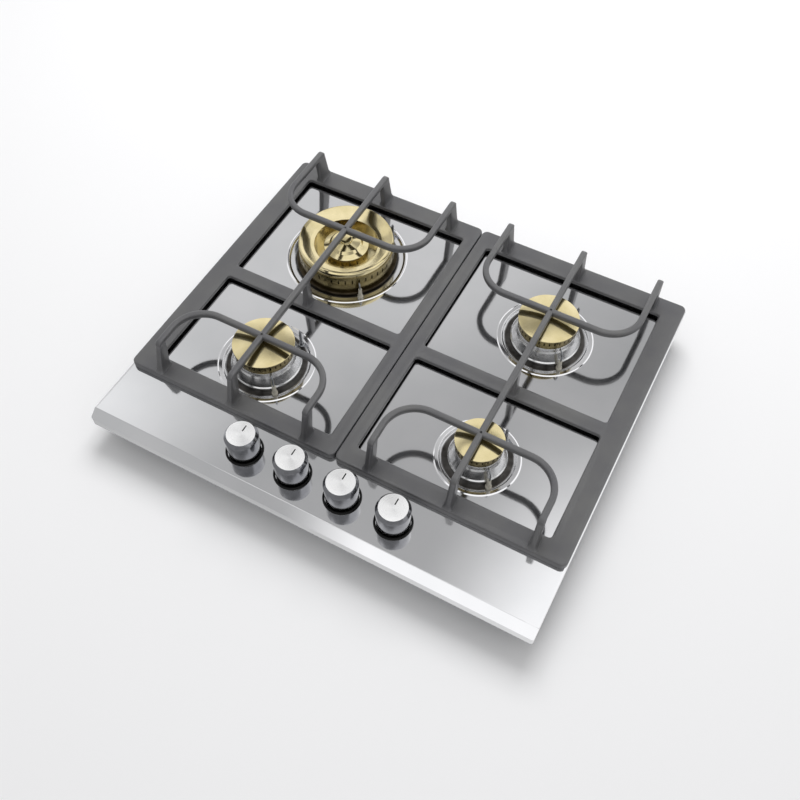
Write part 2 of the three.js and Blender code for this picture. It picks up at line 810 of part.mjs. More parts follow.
function makeWokCap(burner) {
  const rim = wokInner + wokCapStep;
  const lip = wokInner - wokInnerWall - clearance;
  const lipLow = innerTop - lipDepth;
  const steps = [[0, wokCapEdge], [wokCapFirstStep, wokCapFirstRise], [wokCapSecondStep, wokCapSecondRise],
    [wokCapThirdStep, wokCapThirdRise], [wokCapButtonStep, wokCapButtonRise], [rim, wokCapRise]];
  const profile = [[0, innerTop], [lip - lipThickness, innerTop], [lip - lipThickness, lipLow], [lip, lipLow],
    [lip, innerTop], [rim, innerTop], ...steps.map(([inset, rise]) => [rim - inset, innerTop + rise])];
  return turned(profile, burner.at);
}

// A spark electrode: a ceramic post whose wire hooks over towards the head.
function makeIgniter(burner) {
  const seat = plateTop - recessDepth;
  const tip = plateTop + (burner.wok ? wokElectrodeTip : igniterTip);
  const ceramicTop = plateTop + igniterCeramicTop;
  const profile = [[0, seat - igniterBelow], [igniterRadius, seat - igniterBelow], [igniterRadius, seat],
    [electrodeCollar, seat], [electrodeCollar, seat + electrodeCollarHeight],
    [igniterRadius, seat + electrodeCollarHeight + overrun], [igniterRadius - igniterTaper, ceramicTop],
    [wireRadius, ceramicTop + overrun], [wireRadius, tip], [0, tip]];
  const from = burner.outside + sparkGap;
  const hook = new THREE.BoxGeometry(burner.electrodes - from, hookSize, hookSize);
  hook.translate((burner.electrodes + from) / 2, 0, tip - hookSize / 2);
  hook.rotateZ(igniterAngle * degrees);
  hook.translate(...burner.at, 0);
  return turned(profile, beside(burner, igniterAngle), small).add(toSolid(hook));
}

function makeProbe(burner) {
  const seat = plateTop - recessDepth;
  const tip = plateTop + (burner.wok ? wokElectrodeTip : probeTip);
  const profile = [[0, seat - probeBelow], [probeRadius, seat - probeBelow], [probeRadius, seat],
    [electrodeCollar, seat], [electrodeCollar, seat + electrodeCollarHeight],
    [probeRadius, seat + electrodeCollarHeight + overrun / 2], [probeRadius, tip - probeNose],
    [probeRadius / 2, tip], [0, tip]];
  return turned(profile, beside(burner, probeAngle), small);
}

function makePipe(burner) {
  const [fromX, fromY] = knobs[burner.tap].at;
  const [toX, toY] = burner.at;
  const start = fromY + tapBack + bossLength - socketDepth;
  const end = toY - burner.neck - bossLength + socketDepth;
  const far = toY > 0;
  const arrive = end - (far ? longPipeTail : pipeStraight);
  const leave = far ? arrive - longPipeCross : start + pipeStraight;
  const route = [[fromX, start], [fromX, leave], [toX, arrive], [toX, end]];
  const corners = route.map(([x, y]) => new THREE.Vector3(x, y, outletZ));
  return tube(corners, pipeRadius, pipeBore, far ? pipeBend : pipeBendShort);
}

// Pan supports. The bars stand on the frame by legs and are halved into each other over each burner.
const grateRear = plateDepth / 2 - grateInset;
const grateFront = knobY + bezelRadius + grateFromKnobs;
const middleBarAt = (rearBurnerY + frontBurnerY) / 2;
const frameTop = plateTop + frameHeight;
const barsLow = headTop + capRise + barsOverCaps;
const barsTop = barsLow + barHeight;
const barsMiddle = barsLow + barHeight / 2;
const halfBar = barWidth / 2;
const rearEnd = grateRear - fingerInset;
const frontEnd = grateFront + fingerInset + overrun;

function makeFrame(side) {
  const inner = side * grateSeam / 2;
  const outer = side * (plateLength / 2 - grateInset);
  const [left, right] = side < 0 ? [outer, inner] : [inner, outer];
  const [leftBar, rightBar] = side < 0 ? [outerBar, centreBar] : [centreBar, outerBar];
  const outline = roundedOutline(left, right, grateFront, grateRear, frameCorner);
  const front = [grateFront + frontBar, middleBarAt - middleBar / 2];
  const rear = [middleBarAt + middleBar / 2, grateRear - rearBar];
  for (const [from, to] of [front, rear]) {
    outline.holes.push(roundedOutline(left + leftBar, right - rightBar, from, to, windowCorner, THREE.Path));
  }
  return raised(outline, plateTop, frameTop);
}

// A leg standing on the frame, wider at its foot than at its top, seen from the side.
function leg(x, footFrom, footTo, topFrom, topTo) {
  const top = barsLow + overrun;
  const side = [[footFrom, frameTop], [footTo, frameTop], [topTo, top], [topFrom, top]];
  return drawnAcross(side, x - halfBar, x + halfBar);
}

function rearLeg(x) {
  return leg(x, grateRear - rearBar + legFootInner, grateRear - legFootInset, rearEnd - rearLegTop, rearEnd);
}

function frontLeg(x) {
  const footTo = grateFront + frontBar - legFootInner;
  return leg(x, grateFront + legFootInset, footTo, frontEnd, frontEnd + frontLegTop);
}

// What is cut away to round the top corner of a bar that ends at end, pointing along +Y or -Y.
function endCut(x, end, direction) {
  const centreY = end - direction * barEndRound;
  const centreZ = barsTop - barEndRound;
  const past = end + direction * overrun;
  const side = [[past, centreZ]];
  for (let step = 0; step <= endSteps; step += 1) {
    const angle = quarter * step / endSteps;
    const y = centreY + direction * barEndRound * Math.cos(angle);
    side.push([y, centreZ + barEndRound * Math.sin(angle)]);
  }
  side.push([centreY, barsTop + overrun], [past, barsTop + overrun]);
  return drawnAcross(side, x - barWidth, x + barWidth);
}

// The outline of a round-cornered U bar with its closed end at runY, opening along +Y or -Y.
function bowOutline(x, runY, end, direction) {
  const shape = new THREE.Shape();
  const outer = fingerReach + halfBar;
  const inner = fingerReach - halfBar;
  const outerRadius = fingerCorner + halfBar;
  const innerRadius = fingerCorner - halfBar;
  const centreY = runY + direction * fingerCorner;
  const turn = (centreX, radius, from, to, clockwise) => {
    const reversed = direction < 0 ? !clockwise : clockwise;
    shape.absarc(centreX, centreY, radius, from * direction, to * direction, reversed);
  };
  shape.moveTo(x - outer, end);
  turn(x - outer + outerRadius, outerRadius, Math.PI, Math.PI + quarter, false);
  turn(x + outer - outerRadius, outerRadius, -quarter, 0, false);
  shape.lineTo(x + outer, end);
  shape.lineTo(x + inner, end);
  turn(x + inner - innerRadius, innerRadius, 0, -quarter, true);
  turn(x - inner + innerRadius, innerRadius, -quarter, -Math.PI, true);
  shape.lineTo(x - inner, end);
  return shape;
}

// The U-shaped bar over one burner, halved from below where the long bar passes.
function makeBow(side, runY, end, direction) {
  const x = side * burnerX;
  const standing = direction > 0 ? rearLeg : frontLeg;
  let bow = raised(bowOutline(x, runY, end, direction), barsLow, barsTop, bowSteps);
  for (const reach of [-fingerReach, fingerReach]) {
    bow = bow.add(standing(x + reach)).subtract(endCut(x + reach, end, direction));
  }
  const from = [x - halfBar, runY - barWidth, barsLow - overrun];
  return bow.subtract(block(from, [x + halfBar, runY + barWidth, barsMiddle]));
}

// The long bar from the rear of the frame to its front, halved from above where the bows cross it.
function makeSpine(side) {
  const x = side * burnerX;
  let spine = block([x - halfBar, frontEnd, barsLow], [x + halfBar, rearEnd, barsTop]);
  const footFrom = middleBarAt - middleBar / 2 + legFootInset;
  const footTo = middleBarAt + middleBar / 2 - legFootInset;
  const halfTop = middleLegTop / 2;
  const middleLeg = leg(x, footFrom, footTo, middleBarAt - halfTop, middleBarAt + halfTop);
  spine = spine.add(rearLeg(x)).add(middleLeg).add(frontLeg(x));
  spine = spine.subtract(endCut(x, rearEnd, 1)).subtract(endCut(x, frontEnd, -1));
  for (const y of [rearBurnerY, frontBurnerY]) {
    const from = [x - barWidth, y - halfBar, barsMiddle];
    spine = spine.subtract(block(from, [x + barWidth, y + halfBar, barsTop + overrun]));
  }
  return spine;
}

addNode('top_plate', makePlate(), 'polished_steel');
addNode('worktop_seal', makeSeal(), 'foam');
addNode('base_pan', makePan(), 'galvanised_steel');
addNode('gas_rail', makeRail(), 'galvanised_steel');
addNode('gas_inlet_nipple', makeNipple(), 'brass');
addNode('mains_gland', makeGland(), 'black_plastic');
addNode('ignition_module', makeModule(), 'module_plastic');

for (const knob of knobs) {
  addNode(`tap_body_${knob.number}`, makeTap(knob.at), 'aluminium');
  addNode(`tap_plug_${knob.number}`, makePlug(knob.at), 'brass');
  addNode(`tap_stem_${knob.number}`, makeStem(knob.at), 'stem_steel');
  addNode(`knob_${knob.number}`, makeKnob(knob.at), 'satin_chrome');
  addNode(`knob_bezel_${knob.number}`, makeBezel(knob.at), 'black_plastic');
}

for (const burner of burners) {
  addNode(`feed_pipe_${burner.name}`, makePipe(burner), 'aluminium');
  addNode(`burner_cup_${burner.name}`, makeCup(burner), 'aluminium');
  addNode(`spark_igniter_${burner.name}`, makeIgniter(burner), 'ceramic');
  addNode(`flame_probe_${burner.name}`, makeProbe(burner), 'stem_steel');
  addNode(`burner_head_${burner.name}`, burner.wok ? makeWokHead(burner) : makeHead(burner), 'brass');
  addNode(`burner_cap_${burner.name}`, burner.wok ? makeWokCap(burner) : makeCap(burner), 'brass');
  if (burner.wok) {
    addNode(`ring_cap_${burner.name}`, makeWokRing(burner), 'brass');
  }
}

for (const [side, word] of [[-1, 'left'], [1, 'right']]) {
  addNode(`grate_frame_${word}`, makeFrame(side), 'grey_enamel');
  addNode(`grate_spine_${word}`, makeSpine(side), 'grey_enamel');
  addNode(`grate_rear_bow_${word}`, makeBow(side, rearBurnerY, rearEnd, 1), 'grey_enamel');
  addNode(`grate_front_bow_${word}`, makeBow(side, frontBurnerY, frontEnd, -1), 'grey_enamel');
}

export default group;
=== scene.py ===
import math
import bpy
import bmesh
from mathutils import Matrix, Vector


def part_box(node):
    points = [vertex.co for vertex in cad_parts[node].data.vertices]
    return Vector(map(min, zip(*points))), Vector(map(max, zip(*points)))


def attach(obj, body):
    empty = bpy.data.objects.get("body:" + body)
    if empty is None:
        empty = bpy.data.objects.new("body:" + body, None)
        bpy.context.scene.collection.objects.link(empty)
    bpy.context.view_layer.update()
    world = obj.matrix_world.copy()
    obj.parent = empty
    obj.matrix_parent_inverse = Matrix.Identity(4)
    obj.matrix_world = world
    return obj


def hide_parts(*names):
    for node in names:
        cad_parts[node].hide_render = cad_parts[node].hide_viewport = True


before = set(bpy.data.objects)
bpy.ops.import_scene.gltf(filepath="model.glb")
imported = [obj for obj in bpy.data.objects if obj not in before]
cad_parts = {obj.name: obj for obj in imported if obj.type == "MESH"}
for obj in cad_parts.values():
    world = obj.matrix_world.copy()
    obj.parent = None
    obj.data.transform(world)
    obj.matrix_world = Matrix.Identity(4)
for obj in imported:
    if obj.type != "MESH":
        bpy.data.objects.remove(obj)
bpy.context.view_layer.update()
print("frame loaded:", len(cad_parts), "nodes")

mm = 0.001
sharpAngle = 35  # degrees: an edge this sharp is shaded as a crease
scene = bpy.context.scene
burnerNames = ("rear_left", "front_left", "rear_right", "front_right")


# places taken from the frame, in millimetres
def boxOf(node):
    low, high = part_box(node)
    return low / mm, high / mm


def middleOf(node):
    low, high = boxOf(node)
    return (low + high) / 2


plateLow, plateHigh = boxOf("top_plate")
plateTop = plateHigh.z
burnerAt = {name: middleOf("burner_head_" + name) for name in burnerNames}
knobAt = [middleOf("knob_%d" % number) for number in range(1, 5)]


# mesh tools: meshes are drawn in millimetres, and toObject turns them to metres
def toObject(name, bm, at=(0, 0, 0), angle=sharpAngle):
    bmesh.ops.recalc_face_normals(bm, faces=bm.faces)
    bmesh.ops.scale(bm, vec=(mm, mm, mm), verts=bm.verts)
    mesh = bpy.data.meshes.new(name)
    bm.to_mesh(mesh)
    bm.free()
    mesh.shade_smooth()
    mesh.set_sharp_from_angle(angle=math.radians(angle))
    piece = bpy.data.objects.new(name, mesh)
    piece.location = Vector(at) * mm
    scene.collection.objects.link(piece)
    return piece


def bridge(bm, loops):
    # faces between neighbouring rows of vertices; at a point a face has three corners
    for first, second in zip(loops, loops[1:]):
        for i in range(len(first)):
            j = (i + 1) % len(first)
            corners = list(dict.fromkeys([first[i], first[j], second[j], second[i]]))
            if len(corners) > 2:
                bm.faces.new(corners)


def softened(points, steps=4):
    # a side view whose corners (x, y, radius) become arcs, each within half of the sides beside it
    result = []
    count = len(points)
    for i, point in enumerate(points):
        radius = point[2] if len(point) > 2 else 0
        here = Vector(point[:2])
        if radius <= 0 or i in (0, count - 1):
            result.append(here)
            continue
        back = Vector(points[i - 1][:2]) - here
        on = Vector(points[i + 1][:2]) - here
        half = back.angle(on) / 2
        inset = min(radius / math.tan(half), back.length * 0.49, on.length * 0.49)
        centre = here + (back.normalized() + on.normalized()).normalized() * (inset / math.cos(half))
        start = here + back.normalized() * inset
        end = here + on.normalized() * inset
        for k in range(steps + 1):
            chord = start.lerp(end, k / steps) - centre
            result.append(centre + chord.normalized() * (start - centre).length)
    return result


def turned(name, points, at, sides=96, steps=4):
    # a body turned about a vertical axis, from (radius, height, corner radius) points
    bm = bmesh.new()
    loops = []
    for radius, height in softened(points, steps):
        if radius < 1e-6:
            loops.append([bm.verts.new((0, 0, height))] * sides)
            continue
        loop = []
        for k in range(sides):
            turn = 2 * math.pi * k / sides
            loop.append(bm.verts.new((radius * math.cos(turn), radius * math.sin(turn), height)))
        loops.append(loop)
    if points[0][:2] == points[-1][:2]:
        bmesh.ops.delete(bm, geom=loops.pop(), context="VERTS")
        loops.append(loops[0])
    bridge(bm, loops)
    return toObject(name, bm, at)


def roundOver(radius, steps=4):
    # a quarter circle over an edge, as (inset, drop) pairs from the top outwards
    turns = [math.pi / 2 * k / steps for k in range(steps + 1)]
    return [(radius * (1 - math.sin(turn)), radius * (1 - math.cos(turn))) for turn in turns]


def roundedLoop(left, right, front, rear, radius, steps=8):
    # a rounded rectangle as points, anticlockwise from its front right corner
    corners = ((right - radius, front + radius, -90), (right - radius, rear - radius, 0),
               (left + radius, rear - radius, 90), (left + radius, front + radius, 180))
    points = []
    for x, y, start in corners:
        for k in range(steps + 1):
            turn = math.radians(start + 90 * k / steps)
            points.append((x + radius * math.cos(turn), y + radius * math.sin(turn)))
    return points


def row(bm, points, height):
    return [bm.verts.new((x, y, height)) for x, y in points]


def fillFlat(bm, loops, up=1):
    # one flat face with holes, as triangles
    edges = []
    for loop in loops:
        for i, vertex in enumerate(loop):
            other = loop[(i + 1) % len(loop)]
            edges.append(bm.edges.get((vertex, other)) or bm.edges.new((vertex, other)))
    bmesh.ops.triangle_fill(bm, edges=edges, use_beauty=True, use_dissolve=False, normal=(0, 0, up))


def keepFlatsFlat(piece):
    # large flat faces keep their own normal, so that a mirror finish shows no waves
    modifier = piece.modifiers.new("flats", "WEIGHTED_NORMAL")
    modifier.keep_sharp = True
    modifier.weight = 100


def cutAway(piece, cutter):
    # takes the cutter's volume out of the piece and drops the cutter
    modifier = piece.modifiers.new("cut", "BOOLEAN")
    modifier.operation = "DIFFERENCE"
    modifier.solver = "EXACT"
    modifier.object = cutter
    bpy.context.view_layer.update()
    evaluated = piece.evaluated_get(bpy.context.evaluated_depsgraph_get())
    mesh = bpy.data.meshes.new_from_object(evaluated)
    piece.modifiers.clear()
    piece.data = mesh
    mesh.set_sharp_from_angle(angle=math.radians(sharpAngle))
    bpy.data.objects.remove(cutter)


def boxes(name, sizes, at=(0, 0, 0)):
    # separate blocks in one mesh, each as (middle, size, turn about the axis)
    bm = bmesh.new()
    for middle, size, turn in sizes:
        made = bmesh.ops.create_cube(bm, size=1)
        bmesh.ops.scale(bm, vec=size, verts=made["verts"])
        bmesh.ops.translate(bm, vec=middle, verts=made["verts"])
        bmesh.ops.rotate(bm, cent=(0, 0, 0), matrix=Matrix.Rotation(turn, 3, "Z"), verts=made["verts"])
    return toObject(name, bm, at)


def finishWith(piece, material, *more):
    piece.data.materials.clear()
    for one in (material, *more):
        piece.data.materials.append(one)


def standsFor(piece, material, nodes, body):
    finishWith(piece, material)
    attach(piece, body)
    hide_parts(*nodes)
    return piece


# materials: one function for each finish
def colour(hexValue):
    # an sRGB hex value as a linear colour
    channels = []
    for i in (0, 2, 4):
        value = int(hexValue[1 + i:3 + i], 16) / 255
        channels.append(value / 12.92 if value <= 0.04045 else ((value + 0.055) / 1.055) ** 2.4)
    return (*channels, 1)


def addNode(tree, kind, inputs, stops=(), **settings):
    # an input is a value, a socket or the node it comes from; stops are a ramp's positions and colours
    node = tree.nodes.new(kind)
    for key, value in settings.items():
        setattr(node, key, value)
    for i, (position, hexValue) in enumerate(stops):
        node.color_ramp.elements[i].position = position
        node.color_ramp.elements[i].color = colour(hexValue)
    for key, value in inputs.items():
        if isinstance(value, bpy.types.Node):
            value = next(socket for socket in value.outputs if not socket.is_unavailable)
        if isinstance(value, bpy.types.NodeSocket):
            tree.links.new(value, node.inputs[key])
        else:
            node.inputs[key].default_value = value
    return node


def perMetre(sizeInMm):
    # how many of a pattern's repeats fit in a metre
    return 1 / (sizeInMm * mm)


def startMaterial(name):
    material = bpy.data.materials.new(name)
    material.use_nodes = True
    tree = material.node_tree
    tree.nodes.clear()
    return material, tree, addNode(tree, "ShaderNodeTexCoord", {}).outputs["Object"]


def finishMaterial(material, inputs):
    shader = addNode(material.node_tree, "ShaderNodeBsdfPrincipled", inputs)
    addNode(material.node_tree, "ShaderNodeOutputMaterial", {"Surface": shader})
    return material


def cloudy(tree, place, sizeInMm, detail, low, high):
    # a noise with clouds of about this size in mm, and a tone that drifts with it between two colours
    noise = addNode(tree, "ShaderNodeTexNoise",
                    {"Vector": place, "Scale": perMetre(sizeInMm), "Detail": detail})
    return noise, addNode(tree, "ShaderNodeValToRGB", {"Fac": noise}, ((0.3, low), (0.7, high)))


def fromAxis(tree, place):
    # distance from a turned piece's own axis, in metres
    split = addNode(tree, "ShaderNodeSeparateXYZ", {"Vector": place})
    flat = addNode(tree, "ShaderNodeCombineXYZ", {"X": split.outputs["X"], "Y": split.outputs["Y"]})
    return addNode(tree, "ShaderNodeVectorMath", {0: flat}, operation="LENGTH")


def polishedSteel():
    # bright annealed stainless sheet, wiped clean: mirror-like, with faint wipe marks and rolling lines
    material, tree, place = startMaterial("stainless_bright_annealed")
    smears, tone = cloudy(tree, place, 90, 3.0, "#d4d5d7", "#dcdcde")
    haze = addNode(tree, "ShaderNodeMapRange", {"Value": smears, "To Min": 0.055, "To Max": 0.1})
    # rolling lines 0.6 mm apart, coarser than real ones so that they show, 120 mm long
    spacing = (perMetre(120), perMetre(0.6), 1)
    along = addNode(tree, "ShaderNodeMapping", {"Vector": place, "Scale": spacing})
    lines = addNode(tree, "ShaderNodeTexNoise", {"Vector": along, "Scale": 1.0, "Detail": 2.0})
    bump = addNode(tree, "ShaderNodeBump", {"Height": lines, "Strength": 0.02, "Distance": 0.2 * mm})
    return finishMaterial(material, {"Metallic": 1.0, "Base Color": tone, "Roughness": haze, "Normal": bump})


def satinEnamel():
    # satin vitreous enamel on welded steel bar: neutral grey, soft sheen, fine fired grain, paler on edges
    material, tree, place = startMaterial("satin_enamel_on_steel_bar")
    tone = cloudy(tree, place, 45, 4.0, "#4c4c4f", "#585858")[1]
    edge = addNode(tree, "ShaderNodeNewGeometry", {}).outputs["Pointiness"]
    worn = addNode(tree, "ShaderNodeMapRange",
                   {"Value": edge, "From Min": 0.52, "From Max": 0.6, "To Max": 0.35})
    mixed = addNode(tree, "ShaderNodeMix", {"Factor": worn, "A": tone, "B": colour("#8a8a8d")},
                    data_type="RGBA")
    grain = addNode(tree, "ShaderNodeTexNoise", {"Vector": place, "Scale": perMetre(1.4), "Detail": 3.0})
    bump = addNode(tree, "ShaderNodeBump", {"Height": grain, "Strength": 0.12, "Distance": 0.3 * mm})
    return finishMaterial(material, {"Roughness": 0.4, "Specular IOR Level": 0.75, "Base Color": mixed,
                                     "Normal": bump})


def turnedBrass(name, low, high, smooth, rough):
    # machined brass, lacquered: fine turning rings, pale gold, a little darker where heat has toned it
    material, tree, place = startMaterial(name)
    heat, tone = cloudy(tree, place, 28, 3.0, low, high)
    gloss = addNode(tree, "ShaderNodeMapRange", {"Value": heat, "To Min": smooth, "To Max": rough})
    # turning marks 0.5 mm apart, coarser than real ones so that they show
    rings = addNode(tree, "ShaderNodeMath", {0: fromAxis(tree, place), 1: perMetre(0.5) * 2 * math.pi},
                    operation="MULTIPLY")
    wave = addNode(tree, "ShaderNodeMath", {0: rings}, operation="SINE")
    bump = addNode(tree, "ShaderNodeBump", {"Height": wave, "Strength": 0.08, "Distance": 0.05 * mm})
    return finishMaterial(material, {"Metallic": 1.0, "Base Color": tone, "Roughness": gloss, "Normal": bump})


def paintedShadeMetal(name, inner, outer, low, high, clean):
    # polished metal near a burner: painted shade, nearly black, between two radii in mm, bright elsewhere
    material, tree, place = startMaterial(name)
    blotch, shadeTone = cloudy(tree, place, 14, 4.0, low, high)
    uneven = addNode(tree, "ShaderNodeMath", {0: blotch, 1: 2 * mm, 2: fromAxis(tree, place)},
                     operation="MULTIPLY_ADD")
    inside = addNode(tree, "ShaderNodeMapRange",
                     {"Value": uneven, "From Min": (inner - 1) * mm, "From Max": (inner + 1) * mm})
    outside = addNode(tree, "ShaderNodeMapRange",
                      {"Value": uneven, "From Min": (outer + 2.5) * mm, "From Max": (outer + 0.5) * mm})
    share = addNode(tree, "ShaderNodeMath", {0: inside, 1: outside}, operation="MULTIPLY")
    mixed = addNode(tree, "ShaderNodeMix", {"Factor": share, "A": colour(clean), "B": shadeTone},
                    data_type="RGBA")
    gloss = addNode(tree, "ShaderNodeMapRange", {"Value": share, "To Min": 0.1, "To Max": 0.32})
    return finishMaterial(material, {"Metallic": 1.0, "Base Color": mixed, "Roughness": gloss})


def dieCastAluminium():
    # die-cast aluminium, tumbled bright: pale, softly glossy, with a faint cast skin
    material, tree, place = startMaterial("die_cast_aluminium")
    skin, tone = cloudy(tree, place, 9, 5.0, "#c2c3c4", "#d6d6d6")
    gloss = addNode(tree, "ShaderNodeMapRange", {"Value": skin, "To Min": 0.16, "To Max": 0.32})
    pits = addNode(tree, "ShaderNodeTexNoise", {"Vector": place, "Scale": perMetre(1.1), "Detail": 2.0})
    bump = addNode(tree, "ShaderNodeBump", {"Height": pits, "Strength": 0.05, "Distance": 0.2 * mm})
    return finishMaterial(material, {"Metallic": 1.0, "Base Color": tone, "Roughness": gloss, "Normal": bump})


def spunChrome():
    # satin chrome on a spun face: fine rings that draw the light out into wedges; its tone is painted
    # brighter than real chrome, a painted highlight on the knob's face
    material, tree, place = startMaterial("spun_satin_chrome_painted_highlight")
    # rings about 0.35 mm apart, coarser than real ones so that they show
    rings = addNode(tree, "ShaderNodeMath", {0: fromAxis(tree, place), 1: perMetre(0.35)},
                    operation="MULTIPLY")
    uneven = addNode(tree, "ShaderNodeTexNoise", {"W": rings, "Scale": 1.0}, noise_dimensions="1D")
    tone = addNode(tree, "ShaderNodeValToRGB", {"Fac": uneven}, ((0.3, "#f0f0f1"), (0.7, "#fafafa")))
    gloss = addNode(tree, "ShaderNodeMapRange", {"Value": uneven, "To Min": 0.24, "To Max": 0.34})
    around = addNode(tree, "ShaderNodeTangent", {}, direction_type="RADIAL", axis="Z")
    return finishMaterial(material, {"Metallic": 1.0, "Anisotropic": 0.75, "Base Color": tone,
                                     "Roughness": gloss, "Tangent": around})


def polishedChrome():
    # polished chrome plate over a turned blank: clear, slightly blue, faint polishing haze; its tone is
    # painted darker than real chrome, painted shade on the knob's sides
    material, tree, place = startMaterial("polished_chrome_painted_shade")
    haze, tone = cloudy(tree, place, 12, 3.0, "#797a7e", "#88898d")
    gloss = addNode(tree, "ShaderNodeMapRange", {"Value": haze, "To Min": 0.1, "To Max": 0.2})
    return finishMaterial(material, {"Metallic": 1.0, "Base Color": tone, "Roughness": gloss})


def mouldedBlack(name, low, high, roughness, grainInMm, specular=0.5):
    # moulded heat-proof plastic or foam, or black painted shade: near black with a spark-eroded grain
    material, tree, place = startMaterial(name)
    tone = cloudy(tree, place, 15, 3.0, low, high)[1]
    grain = addNode(tree, "ShaderNodeTexVoronoi", {"Vector": place, "Scale": perMetre(grainInMm)})
    bump = addNode(tree, "ShaderNodeBump", {"Height": grain, "Strength": 0.1, "Distance": 0.1 * mm})
    return finishMaterial(material, {"Roughness": roughness, "Specular IOR Level": specular,
                                     "Base Color": tone, "Normal": bump})


def glazedCeramic():
    # glazed alumina: off-white, glossy glaze with faint freckles
    material, tree, place = startMaterial("glazed_alumina")
    tone = cloudy(tree, place, 1.2, 2.0, "#b4afa0", "#c8c4b6")[1]
    return finishMaterial(material, {"Roughness": 0.18, "Base Color": tone})


def drawnMetal(name, low, high, roughness, patchInMm):
    # drawn, plated or zinc-coated metal with its grain or spangle in patches
    material, tree, place = startMaterial(name)
    patch = addNode(tree, "ShaderNodeTexVoronoi", {"Vector": place, "Scale": perMetre(patchInMm)})
    tone = addNode(tree, "ShaderNodeValToRGB", {"Fac": patch.outputs["Color"]}, ((0.2, low), (0.8, high)))
    gloss = addNode(tree, "ShaderNodeMapRange",
                    {"Value": patch, "To Min": roughness, "To Max": roughness + 0.12})
    return finishMaterial(material, {"Metallic": 1.0, "Base Color": tone, "Roughness": gloss})


steel = polishedSteel()
# the wok cup: painted shade, nearly black, on its skirt between 60 and 75 mm from the axis
wokCup = paintedShadeMetal("die_cast_aluminium_painted_shade", 60, 75, "#2c261c", "#4a4234", "#c2c3c4")
enamel = satinEnamel()
brass = turnedBrass("turned_brass_lacquered", "#c0b388", "#d5c9a2", 0.08, 0.16)
# the burner heads' brass is a darker copy of the caps' brass: painted shade on the heads
headBrass = turnedBrass("turned_brass_painted_shade", "#73684a", "#90845c", 0.2, 0.32)
aluminium = dieCastAluminium()
spun = spunChrome()
chrome = polishedChrome()
# black painted shade for the set-back lower part of the pan supports' frames
paintedShadeBlack = mouldedBlack("black_painted_shade_under_frame", "#060606", "#0b0b0b", 0.8, 0.8)
bezelPlastic = mouldedBlack("black_pbt_satin", "#040404", "#080808", 0.45, 0.5, 0.15)
foam = mouldedBlack("closed_cell_foam", "#222223", "#2c2c2d", 0.95, 0.9)
modulePlastic = mouldedBlack("grey_pbt_moulding", "#262a30", "#30353c", 0.55, 0.6)
ceramic = glazedCeramic()
zinc = drawnMetal("galvanised_steel", "#8f9194", "#a8abae", 0.34, 11)
pipeMetal = drawnMetal("drawn_aluminium_tube", "#b9babb", "#c8c9c9", 0.28, 2.5)
wire = drawnMetal("nickel_chrome_wire", "#77797c", "#8f9194", 0.3, 1.5)
plainBrass = drawnMetal("drawn_brass", "#c4ac66", "#d2bd7a", 0.24, 4)
print("materials made:", len(bpy.data.materials))


# the steel plate, pressed from one sheet, with a dish for each burner
plate = {
    "bevelRun": 12, "bevelDrop": 9, "corner": 3, "edge": 0.9, "foot": 0.8, "lip": 12, "sheet": 1.5,
    "creaseRound": 1.4, "creaseAngle": 25, "creaseReach": 14, "shadeAngle": 28,
    "dishEdge": {"wok": 85.5, "medium": 64.5, "small": 54.5},
    "dishFloor": {"wok": 79.5, "medium": 55.5, "small": 46}, "dishDepth": 2,
    "beadRise": 0.55, "beadStart": 1, "beadCrest": 2.6, "beadEnd": 1.6,
    "neck": {"wok": 50.3, "medium": 33.3, "small": 23.8},
    # radii in mm between which each dish gets painted shade
    "shadeBand": {"wok": (40, 72), "medium": (40, 52.5), "small": (30, 43.5)},
    "cutBelow": 30, "cutAbove": 5, "dishSides": 128,
}


def kindOf(name):
    return {"rear_left": "wok", "front_right": "small"}.get(name, "medium")


